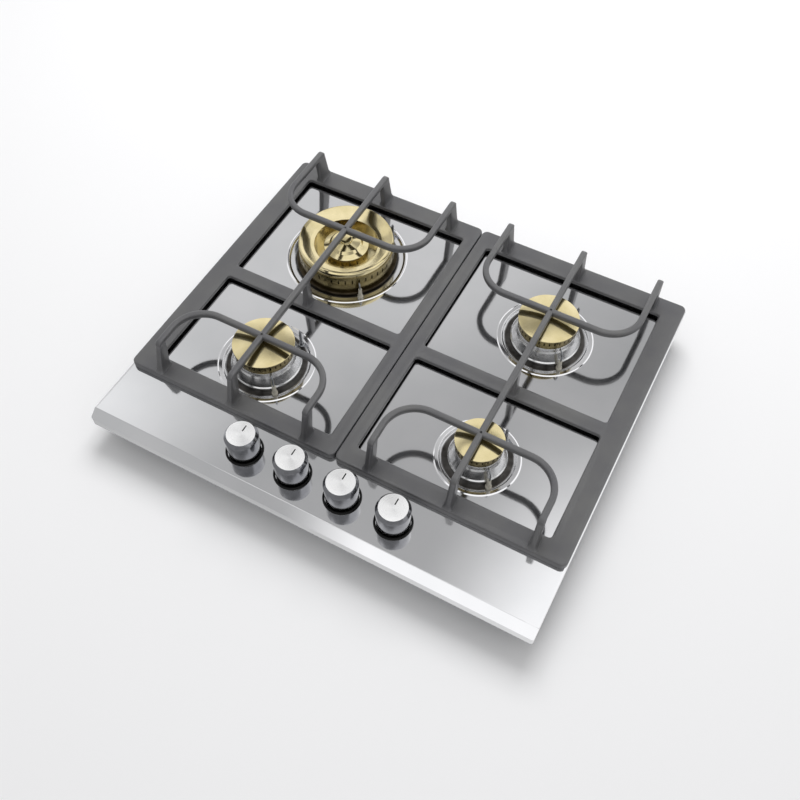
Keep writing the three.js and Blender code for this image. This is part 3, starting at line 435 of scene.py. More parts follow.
def makePlate():
    left, right, front, rear = plateLow.x, plateHigh.x, plateLow.y, plateHigh.y
    tall, foot, lip, sheet = plateHigh.z - plateLow.z, plate["foot"], plate["lip"], plate["sheet"]
    creaseY = front + plate["bevelRun"]
    bm = bmesh.new()

    def ring(inset, drop):
        corner = max(plate["corner"] - inset, 0.4)
        points = roundedLoop(left + inset, right - inset, front + inset, rear - inset, corner, 10)
        return row(bm, points, plateTop - drop)

    # rows of vertices over the edge, down the side, in under the lip and back along the sheet's inside
    loops = [ring(inset, drop) for inset, drop in roundOver(plate["edge"])]
    loops += [ring(0, tall - foot), ring(foot, tall), ring(lip, tall), ring(lip, tall - sheet),
              ring(sheet, tall - sheet)]
    bridge(bm, loops)
    fillFlat(bm, [loops[0]])
    # the bevel is cut off the front edge, and its creases are rounded
    slope = math.atan2(plate["bevelDrop"], plate["bevelRun"])
    normal = Vector((0, -math.sin(slope), math.cos(slope)))
    cut = bmesh.ops.bisect_plane(bm, geom=bm.verts[:] + bm.edges[:] + bm.faces[:], dist=1e-4,
                                 plane_co=(0, creaseY, plateTop), plane_no=normal, clear_outer=True)
    rim = [edge for edge in cut["geom_cut"] if isinstance(edge, bmesh.types.BMEdge)]
    bmesh.ops.contextual_create(bm, geom=rim)
    bmesh.ops.remove_doubles(bm, verts=bm.verts, dist=1e-3)
    creases = [edge for edge in bm.edges
               if edge.is_manifold and edge.calc_face_angle(0) > math.radians(plate["creaseAngle"])
               and max(vertex.co.y for vertex in edge.verts) < creaseY + 1
               and min(vertex.co.z for vertex in edge.verts) > plateTop - plate["creaseReach"]]
    bmesh.ops.bevel(bm, geom=creases, offset=plate["creaseRound"], segments=4, profile=0.5, affect="EDGES",
                    clamp_overlap=True)
    # rounding may push a vertex out by a hair: it goes back inside the CAD box
    for vertex in bm.verts:
        vertex.co.x = min(max(vertex.co.x, left), right)
        vertex.co.y = min(max(vertex.co.y, front), rear)
    piece = toObject("plate_sheet", bm, angle=plate["shadeAngle"])
    low, high = plateTop - plate["cutBelow"], plateTop + plate["cutAbove"]
    for name in burnerNames:
        bore = plate["dishEdge"][kindOf(name)]
        cutter = turned("cutter", [(0, low), (bore, low), (bore, high), (0, high)],
                        (burnerAt[name].x, burnerAt[name].y, 0), plate["dishSides"])
        cutAway(piece, cutter)
    return piece


def makeDish(name):
    kind = kindOf(name)
    outer, floor, neck = plate["dishEdge"][kind], plate["dishFloor"][kind], plate["neck"][kind]
    top, sheet, bead = plateTop, plate["sheet"], plate["beadRise"]
    low = top - plate["dishDepth"]
    # in over the raised bead, down to the dish's floor, in to the cup's neck and back underneath
    points = [(outer, top), (outer - plate["beadStart"], top, 0.8),
              (outer - plate["beadCrest"], top + bead, 1.2), (floor + plate["beadEnd"], top + bead / 2, 1.5),
              (floor - 1, low, 1.5), (neck, low, 0.6), (neck, low - sheet), (floor, low - sheet),
              (floor + 3, top - sheet), (outer, top - sheet), (outer, top)]
    at = (burnerAt[name].x, burnerAt[name].y, 0)
    piece = turned("plate_dish_" + name, points, at, plate["dishSides"])
    # the dish's floor and groove get painted shade, nearly black
    inner, outer = plate["shadeBand"][kind]
    finishWith(piece, paintedShadeMetal("stainless_dish_painted_shade_" + name, inner, outer,
                                    "#2e2c2a", "#5a5856", "#dcdcde"))
    keepFlatsFlat(piece)
    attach(piece, "hob_body")


keepFlatsFlat(standsFor(makePlate(), steel, ["top_plate"], "hob_body"))
for name in burnerNames:
    makeDish(name)
print("plate made")


# the pan under the plate and what it holds
pan = {"corner": 6, "fold": 3, "innerFold": 2, "flange": 6, "sheet": 1.2, "flat": 12}


def makePan():
    low, high = boxOf("base_pan")
    fold, inner, sheet, out = pan["fold"], pan["innerFold"], pan["sheet"], pan["flange"]
    left, right, front, rear = low.x + out, high.x - out, low.y + out, high.y - out
    bm = bmesh.new()

    def ring(inset, height):
        corner = max(pan["corner"] - inset, 0.8) if inset >= 0 else pan["corner"] - inset
        return row(bm, roundedLoop(left + inset, right - inset, front + inset, rear - inset, corner), height)

    # rows of vertices from the underside round the fold, up, out over the flange and down the inside
    loops = [ring(pan["flat"], 0)]
    loops += [ring(inset, height) for inset, height in roundOver(fold)]
    loops += [ring(0, high.z - sheet), ring(-out, high.z - sheet), ring(-out, high.z), ring(sheet, high.z)]
    loops += [ring(sheet, sheet + inner), ring(sheet + inner, sheet), ring(pan["flat"], sheet)]
    bridge(bm, loops)
    fillFlat(bm, [loops[0]], -1)
    fillFlat(bm, [loops[-1]])
    return toObject("pan_tray", bm)


standsFor(makePan(), zinc, ["base_pan"], "hob_body")
for node, material in (("gas_rail", zinc), ("gas_inlet_nipple", plainBrass), ("mains_gland", bezelPlastic),
                       ("ignition_module", modulePlastic), ("worktop_seal", foam)):
    finishWith(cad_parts[node], material)
for number in range(1, 5):
    finishWith(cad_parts["tap_body_%d" % number], aluminium)
    finishWith(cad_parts["tap_plug_%d" % number], plainBrass)
    finishWith(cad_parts["tap_stem_%d" % number], wire)
for name in burnerNames:
    finishWith(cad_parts["feed_pipe_" + name], pipeMetal)
print("base pan and inside made")


# knobs and the black rings that they stand in
knob = {
    "top": 17.3, "wide": 20.8, "foot": 20, "base": 3.8, "chamfer": 5, "sides": 96,
    "pointerWidth": 1.5, "pointerDepth": 0.5, "pointer": (3.6, 12.4), "bezelWidth": 2.7,
}


def makeKnob(number, at):
    low, high = boxOf("knob_%d" % number)
    height = high.z - low.z
    top, wide, foot, base = knob["top"], knob["wide"], knob["foot"], knob["base"]
    start, end = knob["pointer"]
    width, depth = knob["pointerWidth"], knob["pointerDepth"]
    points = [(0, 0), (foot - 0.6, 0, 0.6), (foot - 0.5, base - 0.4), (foot + 0.2, base, 0.3),
              (wide, height - knob["chamfer"], 1.2), (top + 0.3, height - 0.3, 0.4), (top, height, 0.3),
              (0, height)]
    piece = turned("knob_turned_%d" % number, points, (at.x, at.y, low.z), knob["sides"])
    reach = end - start
    groove = boxes("cutter", [((0, start + reach / 2, height), (width, reach, depth * 2), 0)],
                   (at.x, at.y, low.z))
    cutAway(piece, groove)
    # chrome with painted shade on the sides, spun chrome with a painted highlight on the face, black on the
    # foot and in the pointer's groove
    finishWith(piece, chrome, spun, bezelPlastic)
    for face in piece.data.polygons:
        level = face.center.z / mm
        across, along = abs(face.center.x / mm), face.center.y / mm
        inGroove = across < width / 2 + 0.01 and 0 < along < end + 0.01
        if face.normal.z > 0.9 and level > height - 0.1:
            face.material_index = 1
        elif level < base - 0.1 or (inGroove and level > height - depth - 0.05):
            face.material_index = 2
    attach(piece, "knob_and_stem_%d" % number)
    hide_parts("knob_%d" % number)


def makeBezel(number, at):
    low, high = boxOf("knob_bezel_%d" % number)
    outer, height = (high.x - low.x) / 2, high.z - low.z
    inner = outer - knob["bezelWidth"]
    points = [(inner, 0), (outer, 0), (outer - 0.3, 1, 0.5), (outer - 0.9, height, 0.8), (inner, height, 0.5),
              (inner, 0)]
    piece = turned("bezel_ring_%d" % number, points, (at.x, at.y, low.z), knob["sides"])
    standsFor(piece, bezelPlastic, ["knob_bezel_%d" % number], "hob_body")


for number, at in enumerate(knobAt, 1):
    makeKnob(number, at)
    makeBezel(number, at)
print("knobs made")


# burners: cup, head and cap; heights are above the plate
burner = {
    "medium": {"head": 38.5, "skirt": 46, "neck": 33, "ports": 36},
    "small": {"head": 29, "skirt": 36.5, "neck": 23.5, "ports": 28},
    "wok": {"skirt": 70, "neck": 50},
    "cupTop": 24, "cupFloor": -23, "cupLedge": -2, "cupWall": 3, "cupSides": 112,
    "skirtTop": 3.4, "wokSkirtTop": 3, "shoulder": 5, "shoulderIn": 1.6, "waist": 16, "collar": 18.4,
    "headHeight": 15, "headWall": 4.5, "headFloor": 3, "headStep": 1.6, "headSides": 144,
    "jetTube": (9, 12), "jetFoot": 4, "jetDrop": 6,
    "portWidth": 1.6, "portHeight": 5, "portReach": 9, "portDrop": 3, "portInset": 2,
    "capOver": 1, "capRim": 1, "capRise": 5.2, "capSteps": 12,
    "capLipInset": 4.8, "capLipWidth": 3, "capLipDepth": 2.5,
}


def ports(count, radius, reach, low, high, width):
    # flame ports as blocks that are cut out of a head's wall
    return [((radius, 0, (low + high) / 2), (reach, width, high - low), 2 * math.pi * (i + 0.5) / count)
            for i in range(count)]


def makeCup(name, at):
    kind = kindOf(name)
    size = burner[kind]
    skirt, neck, inner = size["skirt"], size["neck"], size["neck"] - burner["cupWall"]
    floor, ledge, top = burner["cupFloor"], burner["cupLedge"], burner["cupTop"]
    if kind == "wok":
        above = [(skirt, ledge, 0.6), (skirt, burner["wokSkirtTop"], 1), (inner, burner["wokSkirtTop"], 0.5)]
    else:
        waist, collar = size["head"] + 1, size["head"] - 0.5
        above = [(skirt, ledge, 0.5), (skirt, burner["skirtTop"], 0.8),
                 (skirt - burner["shoulderIn"], burner["shoulder"], 0.8), (waist, burner["waist"], 1.5),
                 (collar, burner["collar"], 0.6), (collar, top, 0.4), (inner, top)]
    points = [(0, floor), (neck, floor, 1.5), (neck, ledge), *above, (inner, floor + burner["cupWall"]),
              (0, floor + burner["cupWall"])]
    piece = turned("cup_spun_" + name, points, (at.x, at.y, plateTop), burner["cupSides"])
    # the wok's cup carries painted shade on its skirt
    material = wokCup if kind == "wok" else aluminium
    standsFor(piece, material, ["burner_cup_" + name], "hob_body")


def makeHead(name, at):
    size = burner[kindOf(name)]
    head, inner = size["head"], size["head"] - burner["headWall"]
    low, high = burner["cupTop"], burner["cupTop"] + burner["headHeight"]
    floor, step = low + burner["headFloor"], burner["headStep"]
    bore, tube = burner["jetTube"]
    jetFoot, jetTop = burner["jetFoot"], high - burner["jetDrop"]
    points = [(bore, jetFoot), (tube, jetFoot), (tube, low), (head - step, low),
              (head - step, low + step, 0.4), (head, low + step + 1, 0.6), (head, high, 0.3), (inner, high),
              (inner, floor), (tube, floor), (tube, jetTop), (bore, jetTop), (bore, jetFoot)]
    place = (at.x, at.y, plateTop)
    piece = turned("head_turned_" + name, points, place, burner["headSides"])
    portTop = high - burner["portDrop"]
    cuts = ports(size["ports"], head - burner["portInset"], burner["portReach"],
                 portTop - burner["portHeight"], portTop, burner["portWidth"])
    cutAway(piece, boxes("cutter", cuts, place))
    # the head takes the darker brass, painted shade
    standsFor(piece, headBrass, ["burner_head_" + name], "hob_body")


def makeCap(name, at):
    head, low = burner[kindOf(name)]["head"], burner["cupTop"] + burner["headHeight"]
    rim, edge, rise = head + burner["capOver"], burner["capRim"], burner["capRise"]
    outer = head - burner["capLipInset"]
    inner, lipLow = outer - burner["capLipWidth"], low - burner["capLipDepth"]
    points = [(0, low), (inner, low), (inner, lipLow), (outer, lipLow, 0.3), (outer, low), (rim, low, 0.4),
              (rim, low + edge, 0.4)]
    # the top is slightly domed, and ends at the middle
    for k in range(1, burner["capSteps"] + 1):
        share = 1 - k / burner["capSteps"]
        points.append((rim * share, low + rise - (rise - edge) * share * share))
    piece = turned("cap_turned_" + name, points, (at.x, at.y, plateTop), burner["cupSides"], 6)
    standsFor(piece, brass, ["burner_cap_" + name], "cap_" + name)


# the wok burner: an outer and an inner ring of flames, with a ring cap and a cap; their top lines are
# (radius, height, corner radius) from the outside in
wok = {
    "outer": 66, "outerWall": 5, "outerTop": 28, "inner": 30, "innerWall": 4, "innerTop": 22,
    "ring": (44, 47), "ringTop": 24, "foot": 3, "floor": 6, "innerFloor": 9, "jetFoot": -6, "jetTop": 18,
    "headSides": 160, "ringSides": 144, "capSides": 112,
    "outerPorts": {"count": 44, "reach": 10, "low": 16.5, "high": 23.5, "width": 1.8},
    "innerPorts": {"count": 18, "reach": 8, "low": 13, "high": 18, "width": 1.6},
    "brightWithin": 58, "lipDepth": 2.5, "ringLip": (57.7, 60.7), "capLip": (22.7, 25.7),
    "ringLine": ((65.2, 28, 0.5), (65.2, 34, 1.4), (63.4, 36, 0.9), (59.2, 34.6, 2), (49, 30.4, 3),
                 (44, 28, 0.5)),
    "capLine": ((31, 22, 0.4), (31, 25, 0.9), (23.2, 27.5, 0.8), (20, 31, 0.8), (9, 33, 0.8), (8, 35.5, 0.8),
                (0, 36.2)),
}


def makeWok(name, at):
    place = (at.x, at.y, plateTop)
    outer, inner, floor, top = wok["outer"], wok["inner"], wok["floor"], wok["outerTop"]
    outerWall, innerWall = outer - wok["outerWall"], inner - wok["innerWall"]
    bore, tube = burner["jetTube"]
    (ringBore, ringTube), seat = wok["ring"], wok["ringTop"]
    points = [(bore, wok["jetFoot"]), (tube, wok["jetFoot"]), (tube, wok["foot"]), (outer, wok["foot"], 0.8),
              (outer, top, 0.4), (outerWall, top), (outerWall, floor), (ringTube, floor), (ringTube, seat),
              (ringBore, seat), (ringBore, floor), (inner, floor), (inner, wok["innerTop"], 0.3),
              (innerWall, wok["innerTop"]), (innerWall, wok["innerFloor"]), (tube, wok["innerFloor"]),
              (tube, wok["jetTop"]), (bore, wok["jetTop"]), (bore, wok["jetFoot"])]
    piece = turned("wok_head_turned", points, place, wok["headSides"])
    for radius, cuts in ((outer, wok["outerPorts"]), (inner, wok["innerPorts"])):
        cutAway(piece, boxes("cutter", ports(radius=radius - burner["portInset"], **cuts), place))
    standsFor(piece, headBrass, ["burner_head_" + name], "hob_body")
    # outside the outer wall the head keeps the darker brass, painted shade; inside it the head takes the
    # bright brass
    piece.data.materials.append(brass)
    for face in piece.data.polygons:
        if math.hypot(face.center.x, face.center.y) / mm < wok["brightWithin"]:
            face.material_index = 1
    (lipIn, lipOut), lipLow = wok["ringLip"], top - wok["lipDepth"]
    points = [(ringBore, seat), (ringTube, seat), (ringTube, top), (lipIn, top), (lipIn, lipLow),
              (lipOut, lipLow), (lipOut, top), *wok["ringLine"], (ringBore, seat)]
    piece = turned("wok_ring_turned", points, place, wok["ringSides"], 5)
    standsFor(piece, brass, ["ring_cap_" + name], "ring_cap")
    (lipIn, lipOut), low = wok["capLip"], wok["innerTop"]
    lipLow = low - wok["lipDepth"]
    points = [(0, low), (lipIn, low), (lipIn, lipLow), (lipOut, lipLow), (lipOut, low), *wok["capLine"]]
    piece = turned("wok_cap_turned", points, place, wok["capSides"])
    standsFor(piece, brass, ["burner_cap_" + name], "cap_" + name)


# the spark electrode and the flame probe beside each burner
electrode = {
    "ceramic": 3, "ceramicTip": 2.4, "ceramicTop": 31, "collar": 4, "collarAt": (14, 17), "sides": 40,
    "wire": 1.1, "wireFrom": 24, "wireDrop": 1.3, "bendDrop": 4, "bend": 3, "turn": -46,
    "reach": {"wok": 5.5, "medium": 8, "small": 8},
    "probe": 2.2, "probeTip": 1.9, "probeCollarAt": (18, 21), "probeSleeve": 2.6, "probeSleeveTop": 26,
}


def makeIgniter(name):
    low, high = boxOf("spark_igniter_" + name)
    radius, tipRadius, top = electrode["ceramic"], electrode["ceramicTip"], electrode["ceramicTop"]
    collar, (collarLow, collarHigh) = electrode["collar"], electrode["collarAt"]
    at = Vector((high.x - collar, low.y + collar, low.z))
    points = [(0, 0), (radius, 0, 0.3), (radius, collarLow), (collar, collarLow, 0.3),
              (collar, collarHigh, 0.3), (radius, collarHigh + 0.6), (tipRadius, top - 1, 0.6), (1, top, 0.3),
              (0, top)]
    piece = turned("igniter_ceramic_" + name, points, at, electrode["sides"])
    standsFor(piece, ceramic, ["spark_igniter_" + name], "hob_body")
    # the wire stands up out of the ceramic and bends over towards the burner
    turn = math.radians(electrode["turn"])
    inward = Vector((-math.cos(turn), -math.sin(turn), 0))
    tip = high.z - low.z
    level = Vector((0, 0, tip - electrode["wireDrop"]))
    stops = [Vector((0, 0, electrode["wireFrom"])), Vector((0, 0, tip - electrode["bendDrop"])),
             inward * electrode["bend"] + level, inward * electrode["reach"][kindOf(name)] + level]
    curve = bpy.data.curves.new("igniter_wire_" + name, "CURVE")
    curve.dimensions = "3D"
    curve.bevel_depth = electrode["wire"] * mm
    curve.bevel_resolution = 3
    curve.use_fill_caps = True
    line = curve.splines.new("BEZIER")
    line.bezier_points.add(len(stops) - 1)
    for point, stop in zip(line.bezier_points, stops):
        point.co = stop * mm
        point.handle_left_type = point.handle_right_type = "AUTO"
    hook = bpy.data.objects.new("igniter_wire_" + name, curve)
    hook.location = at * mm
    scene.collection.objects.link(hook)
    hook.data.materials.append(wire)
    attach(hook, "hob_body")


def makeProbe(name):
    low, high = boxOf("flame_probe_" + name)
    middle = (low + high) / 2
    tall, radius, tip = high.z - low.z, electrode["probe"], electrode["probeTip"]
    collar, (collarLow, collarHigh) = electrode["collar"], electrode["probeCollarAt"]
    sleeve, sleeveTop = electrode["probeSleeve"], electrode["probeSleeveTop"]
    points = [(0, 0), (radius, 0, 0.3), (radius, collarLow), (collar, collarLow, 0.3),
              (collar, collarHigh, 0.4), (sleeve, collarHigh + 0.5), (sleeve, sleeveTop, 0.4),
              (tip, sleeveTop + 0.4), (tip, tall - 3, 0.8), (1.2, tall, 0.5), (0, tall)]
    piece = turned("probe_tube_" + name, points, (middle.x, middle.y, low.z), electrode["sides"])
    standsFor(piece, wire, ["flame_probe_" + name], "hob_body")


for name in burnerNames:
    at = burnerAt[name]
    makeCup(name, at)
    if kindOf(name) == "wok":
        makeWok(name, at)
    else:
        makeHead(name, at)
        makeCap(name, at)
    makeIgniter(name)
    makeProbe(name)
print("burners made")


# pan supports: a flat frame whose set-back lower part is painted black as shade, bars above it on legs
grate = {
    "slab": 4.4, "round": 2.2, "setBack": 5, "chamfer": 0.5, "foot": 0.6, "corner": 8, "windowCorner": 4,
    "outerBar": 28.5, "centreBar": 18, "rearBar": 30, "frontBar": 26, "middleBar": 21,
    "barWidth": 8, "barHeight": 9, "barCorner": 2.8, "reach": 106, "bend": 42, "bendSteps": 14,
    "endInset": 12, "endRound": 8, "sideRound": 2.6, "shadeAngle": 40,
    "rearLeg": 19, "frontLeg": 14, "middleLeg": 5.5, "middleFoot": 7.5,
    "legFlare": 2.6, "legOver": 3, "legBack": 4.5, "legSink": 0.5, "legInBar": 2,
}
middleY = (burnerAt["rear_left"].y + burnerAt["front_left"].y) / 2


def makeFrame(word):
    low, high = boxOf("grate_frame_" + word)
    top, bottom, halfMiddle = high.z, low.z, grate["middleBar"] / 2
    slabUnderside, chamfer, setBack = high.z - grate["slab"], grate["chamfer"], grate["setBack"]
    sides = (grate["outerBar"], grate["centreBar"])
    leftBar, rightBar = sides if word == "left" else reversed(sides)
    left, right = low.x + leftBar, high.x - rightBar
    windows = [(left, right, low.y + grate["frontBar"], middleY - halfMiddle),
               (left, right, middleY + halfMiddle, high.y - grate["rearBar"])]
    bm = bmesh.new()

    def outline(inset, height):
        return row(bm, roundedLoop(low.x + inset, high.x - inset, low.y + inset, high.y - inset,
                                   max(grate["corner"] - inset, 0.5), 6), height)

    def opening(window, grow, height):
        left, right, front, rear = window
        return row(bm, roundedLoop(left - grow, right + grow, front - grow, rear + grow,
                                   grate["windowCorner"] + grow, 6), height)

    outside = [outline(inset, top - drop) for inset, drop in roundOver(grate["round"])]
    outside += [outline(0, bottom + grate["foot"]), outline(grate["foot"], bottom)]
    bridge(bm, outside)
    holes = []
    for window in windows:
        inside = [opening(window, inset, top - drop) for inset, drop in roundOver(grate["round"])]
        inside += [opening(window, 0, slabUnderside), opening(window, chamfer, slabUnderside - chamfer),
                   opening(window, setBack, slabUnderside - chamfer), opening(window, setBack, bottom)]
        bridge(bm, inside)
        holes.append(inside)
    fillFlat(bm, [outside[0]] + [inside[0] for inside in holes])
    fillFlat(bm, [outside[-1]] + [inside[-1] for inside in holes], -1)
    piece = toObject("support_frame_" + word, bm)
    standsFor(piece, enamel, ["grate_frame_" + word], "grate_" + word)
    # below the flat bar, set back inside each window, the frame's lower part is painted black: painted shade
    # under the bar
    piece.data.materials.append(paintedShadeBlack)
    margin = grate["corner"]
    for face in piece.data.polygons:
        x, y, level = face.center / mm
        inWindow = low.x + margin < x < high.x - margin and low.y + margin < y < high.y - margin
        if level < slabUnderside - 0.2 and inWindow:
            face.material_index = 1
    keepFlatsFlat(piece)


def endSections():
    # how a bar's last sections shrink: way back from the end, share of the width, drop of the top
    side = grate["sideRound"]
    result = []
    for back, drop in roundOver(grate["endRound"], 9):
        near = max(0, 1 - back / side)
        width = 1 - side / grate["barWidth"] * 2 * (1 - math.sqrt(1 - near * near))
        result.append((back, width, drop))
    return result


def sweep(bm, path, height):
    # a bar along points in X and Y, its top rounded down at both ends
    half, tall = grate["barWidth"] / 2, grate["barHeight"]
    section = roundedLoop(-half, half, 0, tall, grate["barCorner"], 4)
    spots = [Vector(point) for point in path]
    middle = [(here, (after - before).normalized(), 1, 0)
              for before, here, after in zip(spots, spots[1:], spots[2:])]
    out, home = (spots[1] - spots[0]).normalized(), (spots[-1] - spots[-2]).normalized()
    begin = [(spots[0] + out * back, out, width, drop) for back, width, drop in reversed(endSections())]
    finish = [(spots[-1] - home * back, home, width, drop) for back, width, drop in endSections()]
    loops = []
    for point, ahead, width, drop in begin + middle + finish:
        across = Vector((ahead.y, -ahead.x))
        loop = []
        for u, v in section:
            spot = point + across * u * width
            loop.append(bm.verts.new((spot.x, spot.y, height + v * (tall - drop) / tall)))
        loops.append(loop)
    bridge(bm, loops)
    bm.faces.new(loops[0])
    bm.faces.new(list(reversed(loops[-1])))


def leg(bm, x, foot, topEnds, base, top):
    # a welded leg that spreads at its foot, as rounded sections from the frame up into the bar
    loops = []
    half = grate["barWidth"] / 2
    for k in range(11):
        share = k / 10
        flare = grate["legFlare"] * max(0, 1 - share * 5) ** 2
        front = foot[0] + (topEnds[0] - foot[0]) * share - flare
        rear = foot[1] + (topEnds[1] - foot[1]) * share + flare
        points = roundedLoop(x - half - flare, x + half + flare, front, rear,
                             grate["sideRound"] + flare * 0.5, 4)
        loops.append(row(bm, points, base + (top - base) * share))
    bridge(bm, loops)
    bm.faces.new(loops[0])
    bm.faces.new(list(reversed(loops[-1])))


def bowPath(x, runY, end, direction):
    # in from one end, round a bend to the middle of the bow, round the other bend and back out
    reach, bend, steps = grate["reach"], grate["bend"], grate["bendSteps"]
    centreY = runY + direction * bend
    path = [(x - reach, end)]
    for centreX, start in ((x - reach + bend, math.pi), (x + reach - bend, -math.pi / 2)):
        for k in range(steps + 1):
            turn = start + math.pi / 2 * k / steps
            path.append((centreX + bend * math.cos(turn), centreY + direction * bend * math.sin(turn)))
    path.append((x + reach, end))
    return path


def makeSupport(word):
    low, high = boxOf("grate_frame_" + word)
    x = burnerAt["rear_" + word].x
    base = high.z - grate["legSink"]
    barLow = boxOf("grate_spine_" + word)[1].z - grate["barHeight"]
    top = barLow + grate["legInBar"]
    # each leg's foot and top, as front and rear ends along Y
    rearFoot = (high.y - grate["rearBar"] + grate["legBack"], high.y - grate["legOver"])
    frontFoot = (low.y + grate["legOver"], low.y + grate["frontBar"] - grate["legBack"])
    rearEnd, frontEnd = high.y - grate["endInset"], low.y + grate["endInset"] + 1
    rearTop, frontTop = (rearEnd - grate["rearLeg"], rearEnd), (frontEnd, frontEnd + grate["frontLeg"])
    for place, end, foot, ends, direction in (("rear", rearEnd, rearFoot, rearTop, 1),
                                              ("front", frontEnd, frontFoot, frontTop, -1)):
        bm = bmesh.new()
        sweep(bm, bowPath(x, burnerAt[place + "_" + word].y, end, direction), barLow)
        for reach in (-grate["reach"], grate["reach"]):
            leg(bm, x + reach, foot, ends, base, top)
        piece = toObject("support_%s_bow_%s" % (place, word), bm, angle=grate["shadeAngle"])
        standsFor(piece, enamel, ["grate_%s_bow_%s" % (place, word)], "grate_" + word)
    bm = bmesh.new()
    sweep(bm, [(x, frontEnd), (x, middleY), (x, rearEnd)], barLow)
    leg(bm, x, rearFoot, rearTop, base, top)
    leg(bm, x, frontFoot, frontTop, base, top)
    lower, upper = grate["middleFoot"], grate["middleLeg"]
    leg(bm, x, (middleY - lower, middleY + lower), (middleY - upper, middleY + upper), base, top)
    piece = toObject("support_long_bar_" + word, bm, angle=grate["shadeAngle"])
    standsFor(piece, enamel, ["grate_spine_" + word], "grate_" + word)


for word in ("left", "right"):
    makeFrame(word)
    makeSupport(word)
print("pan supports made")


# the camera stands to the right in front of the hob, looking down at it
camera = {
    "place": (0.32403, -0.61255, 1.00165), "down": 56.302, "turn": -27.822, "roll": 0.432,  # metres, degrees
    "lens": 40.90, "sensor": 36, "farthest": 60,
}


def placeCamera():
    data = bpy.data.cameras.new("camera")
    data.lens = camera["lens"]
    data.sensor_width = camera["sensor"]
    data.clip_end = camera["farthest"]
    down, turn, roll = (math.radians(camera[key]) for key in ("down", "turn", "roll"))
    ahead = Vector((math.sin(turn) * math.cos(down), math.cos(turn) * math.cos(down), -math.sin(down)))
    right = Vector((math.cos(turn), -math.sin(turn), 0))
    up = right.cross(ahead)
    across = right * math.cos(roll) + up * math.sin(roll)
    above = up * math.cos(roll) - right * math.sin(roll)
    matrix = Matrix((across, above, -ahead)).transposed().to_4x4()
    matrix.translation = Vector(camera["place"])
    eye = bpy.data.objects.new("camera", data)
    eye.matrix_world = matrix
    scene.collection.objects.link(eye)
    scene.camera = eye


placeCamera()
print("camera placed")


# the floor and the light
studio = {
    "floor": ("#f6f6f7", "#f7f7f8"), "floorReach": 9000,  # mm each way
    "backdrop": 0.97, "fill": 0.58, "base": 0.52, "brightest": 1.36, "lowest": 0.05,
    # what polished metal sees overhead, as soft glows: a brightness and its fades, each with a direction,
    # a start and an end, as slopes (sideways, away to the rear) of the way a reflection leaves
    "glows": (
        (1.2, ((1, 0), -0.19, 0.04), ((0, 1), 0.72, 0.38), ((0, 1), 0.05, 0.25)),  # right, towards the rear
        (0.5, ((-1, 0), 0.42, 0.68), ((0, 1), 0.56, 0.4), ((0, 1), -0.2, 0.2)),  # far left
        (0.27, ((-0.9, 1), 0.75, 1.2), ((-1, 0), 0.05, 0.3)),  # rear left corner
        (0.92, ((1, 0), -0.6, -0.36), ((0, -1), 0.75, 1.1), ((0, 1), -3.5, -2.2)),  # low in front
        (0.13, ((-1, 0), 0.55, 1.0), ((0, -1), 0.75, 1.1)),  # front left
        # straight above, then above to the right
        (2.2, ((0, 1), 0.36, 0.16), ((0, 1), -0.45, -0.2), ((1, 0), -0.5, -0.3), ((1, 0), 0.5, 0.3)),
        (1.4, ((1, 0), 0.12, 0.32), ((0, 1), -0.35, -0.15)),
        (1.0, ((0, 1), 0.95, 1.15)),  # far to the rear
    ),
    # the floor in reflections: axis, start and end in metres, brightness at each
    "rimSees": ("X", -0.05, 0.2, 0.62, 0.9),
    # the soft lamp that lays the floor's shadow: middle, aim, size in metres, brightness
    "lamp": ((-0.35, 1.25, 2.1), (0.0, 0.0, 0.05), (1.5, 1.5), 5.6),
}


def makeFloor():
    bm = bmesh.new()
    bmesh.ops.create_grid(bm, x_segments=8, y_segments=8, size=studio["floorReach"])
    floor = toObject("floor", bm)
    # studio floor painted matt white: even, with no sheen
    material, tree, place = startMaterial("painted_studio_floor")
    tone = cloudy(tree, place, 900, 2.0, *studio["floor"])[1]
    paint = addNode(tree, "ShaderNodeBsdfPrincipled",
                    {"Roughness": 0.85, "Specular IOR Level": 0.1, "Base Color": tone})
    # what polished metal mirrors of it: an even grey that gets brighter to the right
    side, start, end, dim, bright = studio["rimSees"]
    across = addNode(tree, "ShaderNodeSeparateXYZ", {"Vector": place}).outputs[side]
    light = addNode(tree, "ShaderNodeMapRange",
                    {"Value": across, "From Min": start, "From Max": end, "To Min": dim, "To Max": bright})
    glow = addNode(tree, "ShaderNodeEmission", {"Strength": light})
    path = addNode(tree, "ShaderNodeLightPath", {})
    shown = addNode(tree, "ShaderNodeMixShader", {0: path.outputs["Is Glossy Ray"], 1: paint, 2: glow})
    addNode(tree, "ShaderNodeOutputMaterial", {"Surface": shown})
    finishWith(floor, material)


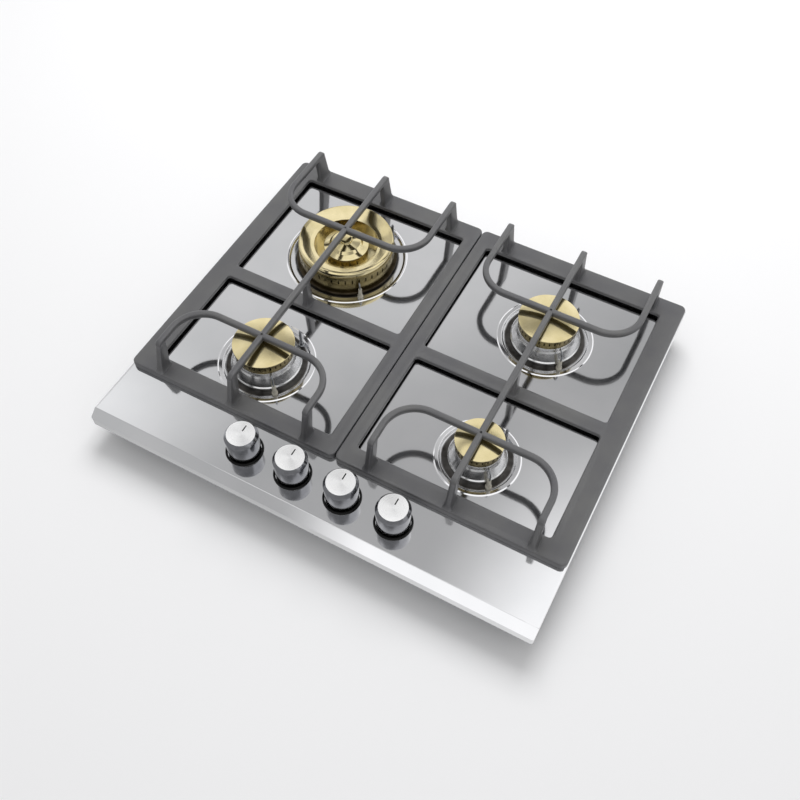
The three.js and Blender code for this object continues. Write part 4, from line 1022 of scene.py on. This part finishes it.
def makeWorld():
    world = bpy.data.worlds.new("studio")
    scene.world = world
    world.use_nodes = True
    tree = world.node_tree
    tree.nodes.clear()
    place = addNode(tree, "ShaderNodeTexCoord", {}).outputs["Generated"]
    split = addNode(tree, "ShaderNodeSeparateXYZ", {"Vector": place})
    height = addNode(tree, "ShaderNodeMath", {0: split.outputs["Z"], 1: studio["lowest"]},
                     operation="MAXIMUM")
    share = addNode(tree, "ShaderNodeMath", {0: 1.0, 1: height}, operation="DIVIDE")
    slope = addNode(tree, "ShaderNodeVectorMath", {0: place, "Scale": share}, operation="SCALE")
    total = studio["base"]
    for brightness, *fades in studio["glows"]:
        glow = brightness
        for direction, start, end in fades:
            along = addNode(tree, "ShaderNodeVectorMath", {0: slope, 1: (*direction, 0)},
                            operation="DOT_PRODUCT")
            fade = addNode(tree, "ShaderNodeMapRange", {"Value": along, "From Min": start, "From Max": end},
                           interpolation_type="SMOOTHSTEP")
            glow = addNode(tree, "ShaderNodeMath", {0: fade, 1: glow}, operation="MULTIPLY")
        total = addNode(tree, "ShaderNodeMath", {0: glow, 1: total}, operation="ADD")
    # no glow is so strong that the plate's reflection of it clips
    total = addNode(tree, "ShaderNodeMath", {0: total, 1: studio["brightest"]}, operation="MINIMUM")
    path = addNode(tree, "ShaderNodeLightPath", {})
    fill, shine, seen = (addNode(tree, "ShaderNodeBackground", {"Strength": strength, "Color": (1, 1, 1, 1)})
                         for strength in (studio["fill"], total, studio["backdrop"]))
    light = addNode(tree, "ShaderNodeMixShader", {0: path.outputs["Is Glossy Ray"], 1: fill, 2: shine})
    mix = addNode(tree, "ShaderNodeMixShader", {0: path.outputs["Is Camera Ray"], 1: light, 2: seen})
    addNode(tree, "ShaderNodeOutputWorld", {"Surface": mix})


def makeLamp():
    middle, aim, size, brightness = studio["lamp"]
    bm = bmesh.new()
    # a square metre, stretched to the lamp's size
    bmesh.ops.create_grid(bm, x_segments=1, y_segments=1, size=0.5 / mm)
    bmesh.ops.scale(bm, vec=(size[0], size[1], 1), verts=bm.verts)
    lamp = toObject("lamp_panel", bm)
    aimed = (Vector(aim) - Vector(middle)).normalized().to_track_quat("-Z", "Y").to_matrix().to_4x4()
    lamp.matrix_world = Matrix.Translation(Vector(middle)) @ aimed
    # opal diffuser of a studio lamp: an even white light with soft shadows
    material, tree, place = startMaterial("lamp_diffuser")
    glow = addNode(tree, "ShaderNodeEmission", {"Strength": brightness})
    addNode(tree, "ShaderNodeOutputMaterial", {"Surface": glow})
    finishWith(lamp, material)
    lamp.visible_camera = False
    lamp.visible_glossy = False
    lamp.visible_shadow = False


makeFloor()
makeWorld()
makeLamp()
scene.view_settings.view_transform = "Standard"
print("studio made")
